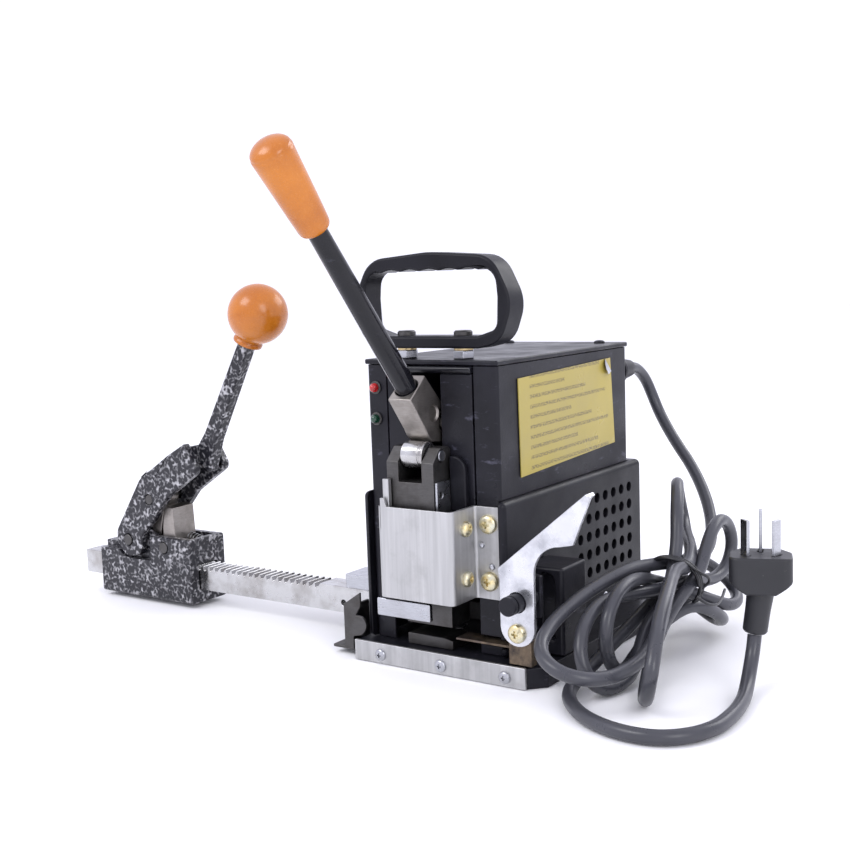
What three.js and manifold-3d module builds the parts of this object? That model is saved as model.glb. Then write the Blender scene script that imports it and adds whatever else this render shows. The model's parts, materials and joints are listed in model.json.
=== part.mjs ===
// Hand-levered electric hot-melt strapping tool.
// Millimetres, +X along the rack bar towards the mains cord, +Y to the back, +Z up.
// The origin is the centre of the head's base plate, on its underside.

import * as THREE from 'three';
import { mergeVertices } from 'three/addons/utils/BufferGeometryUtils.js';
import Module from 'manifold-3d';

const wasm = await Module();
wasm.setup();

// ---------------------------------------------------------------- driving dimensions

const GAP = 0.3;                 // clearance between touching pieces
const SHEET = 1.5;               // folded sheet-metal thickness

// base plate
const BASE_LEFT = -48;
const BASE_RIGHT = 70;
const BASE_FRONT = -87;
const BASE_BACK = 87;
const BASE_TOP = 11;
const STRIP_RIGHT = 62;          // right end of the front wear strip

// chassis and its moulded lower cover
const HALF_WIDTH = 42;
const CHASSIS_FRONT = -76;
const CHASSIS_BACK = 76;
const CHASSIS_TOP = 165;
const FLANGE = 13;               // width of the chassis' front flanges
const COVER_HALF = 46;
const COVER_FRONT = -79.5;
const COVER_BACK = 87;
const COVER_TOP = 94.5;
const VENT_RADIUS = 3;
const VENT_PITCH = 10.7;
const TOP_Z = 168;               // upper face of the top plate

// strap throat
const JAW_LEFT = -17.5;
const JAW_RIGHT = 12;
const JAW_FRONT = -80;
const JAW_BACK = -62;
const ANVIL_TOP = 17.5;
const THROAT = 6;

// press lever, roller and ram
const PRESS_X = -2.5;
const PRESS_Y = -71;
const PRESS_Z = 134;
const PRESS_SWING = 38 * Math.PI / 180;
const RAM_TRAVEL = 3.6;
const BLOCK_WIDTH = 14.4;
const ROLLER_Y = -85.5;
const ROLLER_Z = 118.3;
const ROLLER_RADIUS = 7.4;
const LEVER_LEAN = 40 * Math.PI / 180;
const ROD_LENGTH = 120;
const GRIP_LENGTH = 34;
const EAR = 7.5;                 // thickness of each ram ear
const RAM_LEFT = -17.5;
const RAM_RIGHT = 12.5;
const RAM_FRONT = -94;
const RAM_BACK = -76.8;
const RAM_SHOULDER = 104.5;      // floor of the slot between the ears

// guard in front of the ram
const GUARD_FRONT = -100;
const GUARD_LEFT = -21;
const GUARD_RIGHT = 27;
const GUARD_BOTTOM = 42;
const GUARD_TOP = 91.5;

// heater lever
const HEATER_X = 60.5;
const HEATER_Z = 47;
const HEATER_FRONT = -93;
const HEATER_THICK = 2.4;

// rack bar and tensioner carriage
const BAR_LEFT = -320;
const BAR_RIGHT = -47;
const BAR_FRONT = -50;
const BAR_SIZE = 16;
const BAR_BOTTOM = 12;
const BAR_Y = BAR_FRONT + BAR_SIZE / 2;
const BAR_TOP = BAR_BOTTOM + BAR_SIZE;
const TOOTH_PITCH = 5;
const TOOTH_DEPTH = 3.2;
const TOOTH_COUNT = 40;
const TEETH_RIGHT = -105;
const CARRIAGE_LEFT = -295;
const CARRIAGE_RIGHT = -208;
const CARRIAGE_FRONT = -58;
const CARRIAGE_BACK = -26;
const CARRIAGE_BOTTOM = 3;
const CARRIAGE_TOP = 46;
const CHEEK = 5.5;               // thickness of each cheek of the lever's fork
const TENSION_X = -266.5;
const TENSION_Z = 41.5;
const PAWL_X = -232.5;
const PAWL_Z = 39;
const DRIVE_X = -244.5;
const DRIVE_Z = 70.5;
const BALL_X = -152;
const BALL_Z = 192.5;
const BALL_RADIUS = 19;

// mains cord
const CORD = 7.2;                // outer diameter of the sheath

// carry handle
const HANDLE_Y = -67;
const HANDLE_BOTTOM = 174;
const HANDLE_TOP = 224;
const HANDLE_HALF = 51.5;
const HANDLE_BOLT_X = 18.4;

// ---------------------------------------------------------------- shape helpers

const V2 = (x, y) => new THREE.Vector2(x, y);
const V3 = (x, y, z) => new THREE.Vector3(x, y, z);

/** Points of an arc about (cx, cy), angles in degrees. */
function arc(cx, cy, radius, from, to, steps = 8) {
  const points = [];
  for (let i = 0; i <= steps; i += 1) {
    const a = (from + (to - from) * i / steps) * Math.PI / 180;
    points.push(V2(cx + radius * Math.cos(a), cy + radius * Math.sin(a)));
  }
  return points;
}

/** Replaces each corner of a closed outline by an arc; a corner is [x, y, radius]. */
function rounded(corners, steps = 6) {
  const n = corners.length;
  const points = [];
  corners.forEach(([x, y, radius = 0], i) => {
    const here = V2(x, y);
    if (!radius) {
      points.push(here);
      return;
    }
    const before = corners[(i + n - 1) % n];
    const after = corners[(i + 1) % n];
    const u = V2(before[0], before[1]).sub(here).normalize();
    const v = V2(after[0], after[1]).sub(here).normalize();
    const half = Math.acos(THREE.MathUtils.clamp(u.dot(v), -1, 1)) / 2;
    const reach = radius / Math.tan(half);
    const centre = u.clone().add(v).normalize().multiplyScalar(radius / Math.sin(half)).add(here);
    const start = here.clone().addScaledVector(u, reach).sub(centre).angle();
    let turn = here.clone().addScaledVector(v, reach).sub(centre).angle() - start;
    if (turn > Math.PI) turn -= 2 * Math.PI;
    if (turn < -Math.PI) turn += 2 * Math.PI;
    for (let k = 0; k <= steps; k += 1) {
      const a = start + turn * k / steps;
      points.push(V2(centre.x + radius * Math.cos(a), centre.y + radius * Math.sin(a)));
    }
  });
  return points;
}

const rectangle = (x0, x1, y0, y1, radius = 0) => rounded([
  [x0, y0, radius], [x1, y0, radius], [x1, y1, radius], [x0, y1, radius],
]);

function extrude(outline, depth, holes = []) {
  const shape = new THREE.Shape(outline);
  shape.holes = holes.map((points) => new THREE.Path(points));
  return new THREE.ExtrudeGeometry(shape, { depth, bevelEnabled: false });
}

/** Outline in (x, y), extruded along Z. */
const alongZ = (outline, z0, z1, holes) => extrude(outline, z1 - z0, holes).translate(0, 0, z0);

/** Outline in (x, z), extruded along Y. */
const alongY = (outline, y0, y1, holes) => (
  extrude(outline, y1 - y0, holes).rotateX(Math.PI / 2).translate(0, y1, 0)
);

/** Outline in (y, z), extruded along X. */
function alongX(outline, x0, x1, holes) {
  const turn = new THREE.Matrix4().set(0, 0, 1, 0, 1, 0, 0, 0, 0, 1, 0, 0, 0, 0, 0, 1);
  return extrude(outline, x1 - x0, holes).applyMatrix4(turn).translate(x0, 0, 0);
}

function box(x0, x1, y0, y1, z0, z1) {
  const block = new THREE.BoxGeometry(x1 - x0, y1 - y0, z1 - z0);
  return block.translate((x0 + x1) / 2, (y0 + y1) / 2, (z0 + z1) / 2);
}

/** Cylinder between two points. */
function rod(from, to, radius, radiusEnd = radius, sides = 20) {
  const span = to.clone().sub(from);
  const turn = new THREE.Quaternion().setFromUnitVectors(V3(0, 1, 0), span.clone().normalize());
  const geometry = new THREE.CylinderGeometry(radiusEnd, radius, span.length(), sides);
  return geometry.applyQuaternion(turn).translate(...from.clone().lerp(to, 0.5).toArray());
}

/** Lathe profile [radius, height] about the line from `from` towards `to`. */
function turned(profile, from, to, sides = 24) {
  const axis = to.clone().sub(from).normalize();
  const turn = new THREE.Quaternion().setFromUnitVectors(V3(0, 1, 0), axis);
  const geometry = new THREE.LatheGeometry(profile.map(([r, h]) => V2(r, h)), sides);
  return geometry.applyQuaternion(turn).translate(...from.toArray());
}

/** Sheet of thickness t folded along a path of points, with bends of the given middle radius. */
function folded(points, t, radius) {
  const line = [];
  points.forEach((p, i) => {
    if (i === 0 || i === points.length - 1) {
      line.push(V2(...p));
      return;
    }
    const here = V2(...p);
    const u = V2(...points[i - 1]).sub(here).normalize();
    const v = V2(...points[i + 1]).sub(here).normalize();
    const half = Math.acos(THREE.MathUtils.clamp(u.dot(v), -1, 1)) / 2;
    const reach = radius / Math.tan(half);
    const a = here.clone().addScaledVector(u, reach);
    const b = here.clone().addScaledVector(v, reach);
    const centre = u.clone().add(v).normalize().multiplyScalar(radius / Math.sin(half)).add(here);
    const start = a.clone().sub(centre).angle();
    let turn = b.sub(centre).angle() - start;
    if (turn > Math.PI) turn -= 2 * Math.PI;
    if (turn < -Math.PI) turn += 2 * Math.PI;
    for (let k = 0; k <= 6; k += 1) {
      const angle = start + turn * k / 6;
      line.push(V2(centre.x + radius * Math.cos(angle), centre.y + radius * Math.sin(angle)));
    }
  });
  const side = (sign) => line.map((p, i) => {
    const ahead = line[Math.min(i + 1, line.length - 1)];
    const behind = line[Math.max(i - 1, 0)];
    const d = ahead.clone().sub(behind).normalize();
    return V2(p.x - d.y * sign * t / 2, p.y + d.x * sign * t / 2);
  });
  const outline = [...side(1), ...side(-1).reverse()];
  return THREE.ShapeUtils.isClockWise(outline) ? outline.reverse() : outline;
}

// ---------------------------------------------------------------- booleans

function toSolid(geometry) {
  const bare = geometry.clone();
  bare.deleteAttribute('normal');
  bare.deleteAttribute('uv');
  const merged = mergeVertices(bare, 1e-4);
  return new wasm.Manifold(new wasm.Mesh({
    numProp: 3,
    vertProperties: new Float32Array(merged.attributes.position.array),
    triVerts: new Uint32Array(merged.index.array),
  }));
}

function fromSolid(solid) {
  const mesh = solid.getMesh();
  const geometry = new THREE.BufferGeometry();
  geometry.setAttribute('position', new THREE.BufferAttribute(mesh.vertProperties, 3));
  geometry.setIndex(new THREE.BufferAttribute(mesh.triVerts, 1));
  geometry.computeVertexNormals();
  return geometry;
}

const join = (...parts) => fromSolid(parts.map(toSolid).reduce((a, b) => a.add(b)));

const cut = (base, ...tools) => (
  fromSolid(tools.map(toSolid).reduce((a, b) => a.subtract(b), toSolid(base)))
);

// ---------------------------------------------------------------- materials

const finish = (color, roughness, metalness) => () => (
  new THREE.MeshStandardMaterial({ color, roughness, metalness })
);
const blackPaint = finish(0x2a2b30, 0.5, 0.1);
const blackPlastic = finish(0x222326, 0.55, 0);
const brushedAluminium = finish(0xb9bcc2, 0.35, 0.9);
const chrome = finish(0xd5d8de, 0.15, 1);
const bareSteel = finish(0x8d857c, 0.4, 0.9);
const darkSteel = finish(0x55565c, 0.45, 0.8);
const hammertone = finish(0x5a5c62, 0.45, 0.5);
const zincYellow = finish(0xc2a65c, 0.3, 0.9);
const orangePlastic = finish(0xee8a1d, 0.3, 0);
const yellowLabel = finish(0xe2c21e, 0.5, 0);
const greyRubber = finish(0x6a6d73, 0.55, 0);
const copper = finish(0xa65f35, 0.4, 0.8);
const redLens = finish(0xc21818, 0.2, 0);
const greenLens = finish(0x7fb79a, 0.2, 0);

const tool = new THREE.Group();

function add(name, geometry, material, parent = tool) {
  const mesh = new THREE.Mesh(geometry, material());
  mesh.name = name;
  parent.add(mesh);
}

// ---------------------------------------------------------------- base

function basePlate() {
  const lug = [-78, BASE_LEFT, BAR_FRONT - 6, BAR_FRONT + BAR_SIZE + 6];
  const outline = rounded([
    [BASE_LEFT, BASE_FRONT, 1], [STRIP_RIGHT, BASE_FRONT], [BASE_RIGHT, BASE_FRONT + 8],
    [BASE_RIGHT, BASE_BACK, 4], [BASE_LEFT, BASE_BACK, 4],
    [BASE_LEFT, lug[3]], [lug[0], lug[3], 3], [lug[0], lug[2], 3], [BASE_LEFT, lug[2]],
  ]);
  return alongZ(outline, 0, BASE_TOP);
}

const frontStrip = () => box(
  BASE_LEFT, STRIP_RIGHT, BASE_FRONT - GAP - 2, BASE_FRONT - GAP, 0.2, BASE_TOP + 0.6,
);

/** Folded foot bracket at the head's front left corner. */
function leftBracket() {
  const plateFront = -84;
  const plateBack = plateFront + 1.8;
  const outline = [
    V2(-59.5, 3), V2(-59.5, 29), V2(-47.5, 37), V2(-47.5, 29), V2(-51, 23.5),
    ...arc(-50, 17.8, 6.2, 60, -60), V2(-53, 11), V2(-53, 3),
  ];
  const plate = alongY(outline.reverse(), plateFront, plateBack);
  const foot = box(-68, -53, plateFront, -66, 3, 4.8);
  const side = box(-59.5, -57.7, plateFront, -62, 3, 27);
  return join(plate, foot, side);
}

/** Clevis-shaped lower jaw under the ram. */
function anvil() {
  const outline = [
    V2(JAW_LEFT, BASE_TOP + GAP), V2(JAW_RIGHT, BASE_TOP + GAP), V2(JAW_RIGHT, ANVIL_TOP - 1.2),
    V2(JAW_RIGHT - 5, ANVIL_TOP), V2(JAW_LEFT, ANVIL_TOP),
  ];
  return alongY(outline, JAW_FRONT, JAW_BACK);
}

// ---------------------------------------------------------------- chassis and covers

const SLOT_LOW = 16.4;           // window for the heater blade
const SLOT_HIGH = 21.4;
const bladeWindow = () => box(24, 60, -90, -66.5, SLOT_LOW, SLOT_HIGH);

/** Folded sheet box: back, two sides and two front flanges, open top and bottom. */
function chassis() {
  const w = HALF_WIDTH - SHEET / 2;
  const front = CHASSIS_FRONT + SHEET / 2;
  const back = CHASSIS_BACK - SHEET / 2;
  const path = [
    [-HALF_WIDTH + FLANGE, front], [-w, front], [-w, back],
    [w, back], [w, front], [HALF_WIDTH - FLANGE - 1.5, front],
  ];
  const shell = alongZ(folded(path, SHEET, 1.6), BASE_TOP + GAP, CHASSIS_TOP);
  const sideOpening = box(-60, 60, -8, 66, 20, 86);
  const backOpening = box(-34, 34, 60, 90, 20, 86);
  const glandHole = rod(V3(33, 70, 150), V3(33, 90, 150), 6.2);
  return cut(shell, sideOpening, backOpening, glandHole, bladeWindow());
}

/** Grid of round vents through a wall; `across` places one vent. */
function ventGrid(columns, rows, across) {
  const holes = [];
  for (let i = 0; i < columns; i += 1) {
    for (let j = 0; j < rows; j += 1) holes.push(across(i, 26.5 + j * 10.6));
  }
  return holes;
}

/** Moulded wrap-round cover of the lower half, vented on three sides. */
function lowerCover() {
  const wall = 2.6;
  const outer = rectangle(-COVER_HALF, COVER_HALF, COVER_FRONT, COVER_BACK, 3);
  const z0 = BASE_TOP + GAP;
  const body = alongZ(outer, z0, COVER_TOP);
  const inner = HALF_WIDTH + GAP;
  const cavity = box(-inner, inner, COVER_FRONT - 5, CHASSIS_BACK + GAP, 0, 200);
  const rearCavity = box(
    -COVER_HALF + wall, COVER_HALF - wall, CHASSIS_BACK - 2, COVER_BACK - wall, 0, COVER_TOP - wall,
  );
  const sideVents = ventGrid(7, 6, (i, z) => (
    rod(V3(-60, 4.6 + i * VENT_PITCH, z), V3(60, 4.6 + i * VENT_PITCH, z), VENT_RADIUS, VENT_RADIUS, 8)
  ));
  const backVents = ventGrid(7, 6, (i, z) => (
    rod(V3(-32.1 + i * VENT_PITCH, 80, z), V3(-32.1 + i * VENT_PITCH, 95, z), VENT_RADIUS, VENT_RADIUS, 8)
  ));
  const lip = box(-COVER_HALF + 0.5, -35.5, COVER_FRONT, CHASSIS_FRONT - GAP, 38, COVER_TOP - 0.5);
  return join(cut(body, cavity, rearCavity, ...sideVents, ...backVents, bladeWindow()), lip);
}

const topPlate = () => alongZ(
  rectangle(-HALF_WIDTH - 0.8, HALF_WIDTH + 0.8, CHASSIS_FRONT - 1, CHASSIS_BACK + 0.8, 1.2),
  CHASSIS_TOP + GAP, TOP_Z,
);

/** One L-section bearing plate for the press lever; side is -1 left or 1 right. */
function framePlate(side) {
  const inner = side < 0 ? -11.6 : 6.6;
  const outer = side < 0 ? -HALF_WIDTH + FLANGE + 0.8 : HALF_WIDTH - FLANGE - 2.6;
  const far = inner + side * 3;
  const web = box(Math.min(inner, far), Math.max(inner, far), -75.9, -45, 66, 160.6);
  const flange = box(Math.min(inner, outer), Math.max(inner, outer), -75.9, -73, 66, 160.6);
  const hole = rod(V3(-30, PRESS_Y, PRESS_Z), V3(30, PRESS_Y, PRESS_Z), 4.3);
  return cut(join(web, flange), hole);
}

const leverPin = () => rod(V3(-16.5, PRESS_Y, PRESS_Z), V3(11.5, PRESS_Y, PRESS_Z), 4);

/** Rounded bar across the top of the front recess. */
const crossbar = () => alongX(
  rectangle(-78.4, -72, 161, CHASSIS_TOP - 0.2, 1.8), -HALF_WIDTH + FLANGE + 0.6, HALF_WIDTH - FLANGE - 2,
);

/** Black cover strip with a round top, beside the ram. */
function springCover() {
  const outline = [
    V2(13.3, 88), V2(23.2, 88), V2(23.2, 110), ...arc(15.7, 110, 7.5, 0, 90), V2(13.3, 117.5),
  ];
  return alongY(outline, -80, -76.3);
}

// ---------------------------------------------------------------- guard

function guardPlate() {
  const t = SHEET;
  const front = GUARD_FRONT + t / 2;
  const flange = CHASSIS_FRONT - GAP - t / 2;
  const path = [
    [GUARD_LEFT + t / 2, -82], [GUARD_LEFT + t / 2, front], [GUARD_RIGHT - t / 2, front],
    [GUARD_RIGHT - t / 2, flange], [HALF_WIDTH - 0.4, flange],
  ];
  const sheet = alongZ(folded(path, t, 2.6), GUARD_BOTTOM, GUARD_TOP);
  const tab = alongY(
    [
      V2(GUARD_LEFT + 2.6, 80), V2(-14.5, 80), V2(-14.5, GUARD_TOP), V2(-16, GUARD_TOP + 4.5),
      V2(GUARD_LEFT + 2.6, GUARD_TOP + 4.5),
    ],
    GUARD_FRONT, GUARD_FRONT + t,
  );
  return join(sheet, tab);
}

/** Pan-head screw; the head stands on `seat` and faces `out`. */
function panScrew(seat, out, radius, height, shank) {
  const profile = [
    [0, -shank], [radius * 0.5, -shank], [radius * 0.5, 0], [radius, 0], [radius, height * 0.45],
    [radius * 0.82, height * 0.82], [radius * 0.45, height], [0, height],
  ];
  return turned(profile, seat, seat.clone().add(out), 20);
}

/** Screw that only has its head outside a sheet: no shank, so nothing is pierced. */
const headOnly = (seat, out, radius, height) => {
  const profile = [
    [0, GAP], [radius, GAP], [radius, height * 0.45],
    [radius * 0.82, height * 0.82], [radius * 0.45, height], [0, height],
  ];
  return turned(profile, seat, seat.clone().add(out), 20);
};

const guideStrip = () => box(-18, -14.2, -97.6, -94.6, GUARD_BOTTOM + 2, 106);

/** Light bar under the guard that keeps the strap in the throat. */
const strapBar = () => alongY(rectangle(-24.5, 10, 31, 40.6, 0.8), -97.8, -94.8);

// ---------------------------------------------------------------- press lever

/** Rotates a (y, z) point about the lever's pivot by an angle about +X. */
function swing(y, z, angle) {
  const c = Math.cos(angle);
  const s = Math.sin(angle);
  return [PRESS_Y + (y - PRESS_Y) * c - (z - PRESS_Z) * s, PRESS_Z + (y - PRESS_Y) * s + (z - PRESS_Z) * c];
}

/** Cam face: the roller's path seen from the block, set off by the roller's radius and a gap. */
function camFace(steps = 8) {
  const centres = [];
  for (let i = 0; i <= steps; i += 1) {
    const share = i / steps;
    centres.push(swing(ROLLER_Y, ROLLER_Z - RAM_TRAVEL * share, -PRESS_SWING * share));
  }
  return centres.map(([y, z], i) => {
    const a = centres[Math.max(i - 1, 0)];
    const b = centres[Math.min(i + 1, steps)];
    const d = V2(b[0] - a[0], b[1] - a[1]).normalize();
    const reach = ROLLER_RADIUS + GAP;
    return V2(y + d.y * reach, z - d.x * reach);
  });
}

const leanOut = V3(0, -Math.sin(LEVER_LEAN), Math.cos(LEVER_LEAN));
const rodFoot = V3(PRESS_X, PRESS_Y - 22.5, PRESS_Z + 20.3);

/** Bare steel block that carries the rod and presses on the roller. */
function leverBlock() {
  const cam = camFace();
  const outline = [
    V2(PRESS_Y - 1.8, PRESS_Z - 10.5),
    ...cam.map((p) => V2(p.x, p.y)),
    V2(PRESS_Y - 30, PRESS_Z + 15), V2(PRESS_Y - 16, PRESS_Z + 26.8),
    V2(PRESS_Y - 2.8, PRESS_Z + 12.9), V2(PRESS_Y + 5.6, PRESS_Z + 3), V2(PRESS_Y + 5.6, PRESS_Z - 6),
  ];
  if (THREE.ShapeUtils.isClockWise(outline)) outline.reverse();
  const half = BLOCK_WIDTH / 2;
  const body = alongX(outline, PRESS_X - half, PRESS_X + half);
  const bore = rod(V3(-30, PRESS_Y, PRESS_Z), V3(30, PRESS_Y, PRESS_Z), 4.3);
  const face = PRESS_X + half;
  const mark = rod(V3(face - 1, PRESS_Y - 9, PRESS_Z + 6), V3(face + 5, PRESS_Y - 9, PRESS_Z + 6), 4.3);
  const socket = rod(
    rodFoot.clone().addScaledVector(leanOut, -7), rodFoot.clone().addScaledVector(leanOut, 20), 6.3,
  );
  return cut(body, bore, mark, socket);
}

function leverRod() {
  const foot = rodFoot.clone().addScaledVector(leanOut, -6.5);
  return rod(foot, rodFoot.clone().addScaledVector(leanOut, ROD_LENGTH), 6, 5);
}

/** Tapered grip with a domed end and a bead line. */
function leverGrip() {
  const start = rodFoot.clone().addScaledVector(leanOut, ROD_LENGTH + GAP - 14);
  const length = GRIP_LENGTH + 14;
  const wide = 10.6;
  const profile = [
    [0, 14.5], [5.35, 14.5], [5.35, 0], [7, 0], [7.9, 1.2], [8.4, 3], [wide, length - 5],
    [wide + 0.2, length - 3.4],
    [wide - 0.4, length - 2.6], [wide - 0.2, length - 1.6], [wide - 2, length + 0.6],
    [wide - 5, length + 2.2], [wide - 8, length + 2.9], [0, length + 3.1],
  ];
  return turned(profile, start, start.clone().add(leanOut), 28);
}

// ---------------------------------------------------------------- ram

function ramBlock() {
  const chamfer = 7.5;
  const top = 122.6;
  const ear = [
    V2(RAM_FRONT, 100), V2(RAM_BACK, 100), V2(RAM_BACK, top - 2), V2(RAM_BACK - 2, top),
    V2(RAM_FRONT + chamfer, top), V2(RAM_FRONT, top - chamfer),
  ];
  const body = box(RAM_LEFT, RAM_RIGHT, RAM_FRONT, RAM_BACK, 52, RAM_SHOULDER);
  const neck = box(JAW_LEFT, JAW_RIGHT, -84, JAW_BACK, ANVIL_TOP + THROAT + 1.2, 62);
  const sole = alongY([
    V2(JAW_LEFT, ANVIL_TOP + THROAT), V2(JAW_RIGHT - 5, ANVIL_TOP + THROAT),
    V2(JAW_RIGHT, ANVIL_TOP + THROAT - 1.2 + 1.4), V2(JAW_RIGHT, 40), V2(JAW_LEFT, 40),
  ], JAW_FRONT, JAW_BACK);
  const upperNeckGap = box(-40, 40, -86, -79.9, 10, 50);
  const lug = box(-10, 5, JAW_BACK - 2, -46, 44, 50);
  const solid = join(
    alongX(ear, RAM_LEFT, RAM_LEFT + EAR), alongX(ear, RAM_RIGHT - EAR, RAM_RIGHT), body, neck, sole, lug,
  );
  const bore = rod(V3(-30, ROLLER_Y, ROLLER_Z), V3(30, ROLLER_Y, ROLLER_Z), 3.3);
  return cut(solid, bore, upperNeckGap);
}

function ramSidePlate() {
  const plate = alongX(rectangle(-93, -80.6, 84, 105, 0.6), RAM_RIGHT + GAP, RAM_RIGHT + 1.6);
  return cut(plate, rod(V3(8, -89.5, 98), V3(20, -89.5, 98), 1.9));
}

const rollerPin = () => rod(
  V3(RAM_LEFT + 0.5, ROLLER_Y, ROLLER_Z), V3(RAM_RIGHT + 0.4, ROLLER_Y, ROLLER_Z), 3,
);

function roller() {
  const left = RAM_LEFT + EAR + 0.5;
  const right = RAM_RIGHT - EAR - 0.5;
  const length = right - left;
  const r = ROLLER_RADIUS;
  const profile = [
    [3.3, 0], [r - 0.6, 0], [r, 0.6], [r, length - 3.4], [r - 0.7, length - 3.1], [r - 0.7, length - 2.3],
    [r, length - 2], [r, length - 0.5], [r - 0.5, length], [3.3, length], [3.3, 0],
  ];
  return turned(profile, V3(left, ROLLER_Y, ROLLER_Z), V3(right, ROLLER_Y, ROLLER_Z), 28);
}

/** Closed wire helix about the line from `from` to `to`. */
function spring(from, to, radius, wire, turns, stepsPerTurn = 12) {
  const axis = to.clone().sub(from);
  const turn = new THREE.Quaternion().setFromUnitVectors(V3(0, 0, 1), axis.clone().normalize());
  const points = [];
  const steps = turns * stepsPerTurn;
  for (let i = 0; i <= steps; i += 1) {
    const a = i / stepsPerTurn * 2 * Math.PI;
    const p = V3(radius * Math.cos(a), radius * Math.sin(a), axis.length() * i / steps);
    points.push(p.applyQuaternion(turn).add(from));
  }
  const section = new THREE.Shape(arc(0, 0, wire / 2, 0, 300, 5));
  const extrudePath = new THREE.CatmullRomCurve3(points);
  return new THREE.ExtrudeGeometry(section, { steps, extrudePath, bevelEnabled: false });
}

const pressSpring = () => spring(V3(-2.5, -53, BASE_TOP + 1.2), V3(-2.5, -53, 43), 5, 1.4, 7);

// ---------------------------------------------------------------- heater

/** Stamped lever with a round lower end and a folded-over upper edge. */
function heaterLever() {
  const x = HEATER_X;
  const outline = [
    ...arc(x, 34, 10, 180, 360, 14), V2(x + 10, 61),
    ...arc(x + 26, 62, 16, 176, 92, 8), V2(x + 32.5, 79.5), V2(x + 42.5, 104),
    V2(x + 40, 105.5), V2(x - 11, 63.5), V2(x - 10, 58),
  ];
  const back = HEATER_FRONT + HEATER_THICK;
  const plate = alongY(outline, HEATER_FRONT, back);
  const slope = V2(51, 42).normalize();
  const lipThick = 2;
  const lip = alongY([
    V2(x - 11, 63.5), V2(x - 11 + slope.y * lipThick, 63.5 - slope.x * lipThick),
    V2(x + 40 + slope.y * lipThick, 105.5 - slope.x * lipThick), V2(x + 40, 105.5),
  ], HEATER_FRONT, HEATER_FRONT + 8);
  const bore = rod(V3(x, -110, HEATER_Z), V3(x, -80, HEATER_Z), 5.3);
  const screwHole = rod(V3(x, -110, 31), V3(x, -80, 31), 2.8);
  return cut(join(plate, lip), bore, screwHole);
}

/** Grooved black pivot pin; it is fixed in the head. */
function heaterPin() {
  const profile = [
    [0, 0], [4.4, 0], [5, 0.6], [5, 3.4], [3.8, 3.4], [3.8, 4.6], [5, 4.6], [5, 24], [0, 24],
  ];
  return turned(profile, V3(HEATER_X, -103, HEATER_Z), V3(HEATER_X, -80, HEATER_Z), 28);
}

/** Bracket that carries the heater pin on the housing's side. */
const heaterBracket = () => alongZ([
  V2(COVER_HALF + GAP, -78.5), V2(66, -78.5), V2(66, -75.5), V2(COVER_HALF + GAP, -66),
], 36, 58);

const heaterScrew = () => panScrew(V3(HEATER_X, HEATER_FRONT - GAP, 31), V3(0, -1, 0), 5, 3, 5.2);
const heaterBlock = () => box(HEATER_X - 9, HEATER_X + 4.5, -87.2, -81.3, BASE_TOP + 1, 26);
const heaterBlade = () => box(15, HEATER_X, -81, -69, 18.2, 19.4);

function heaterShield() {
  const body = alongZ(rectangle(COVER_HALF + GAP, BASE_RIGHT, -62, -35, 2), BASE_TOP + GAP, 58.5);
  const recess = alongY(
    [V2(54, 20), V2(65, 20), V2(65, 50), ...arc(59.5, 50, 5.5, 0, 180, 10)], -64, -56,
  );
  return cut(body, recess);
}

// ---------------------------------------------------------------- rack and tensioner

function rackBar() {
  const points = [V2(BAR_LEFT, BAR_BOTTOM), V2(BAR_RIGHT, BAR_BOTTOM), V2(BAR_RIGHT, BAR_TOP)];
  for (let i = 0; i < TOOTH_COUNT; i += 1) {
    const x = TEETH_RIGHT - i * TOOTH_PITCH;
    points.push(V2(x, BAR_TOP));
    points.push(V2(x - TOOTH_PITCH * 0.55, BAR_TOP - TOOTH_DEPTH));
    points.push(V2(x - TOOTH_PITCH * 0.75, BAR_TOP - TOOTH_DEPTH));
    points.push(V2(x - TOOTH_PITCH * 0.8, BAR_TOP));
  }
  points.push(V2(BAR_LEFT, BAR_TOP));
  const bar = alongY(points, BAR_FRONT, BAR_FRONT + BAR_SIZE);
  const hole = rod(V3(-87, BAR_FRONT - 5, 18), V3(-87, BAR_FRONT + 30, 18), 1.9, 1.9, 16);
  return cut(bar, hole);
}

const rackClamp = () => box(-83, -50, BAR_FRONT - 2, BAR_FRONT + BAR_SIZE + 2, BAR_TOP + GAP, 37);

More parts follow.
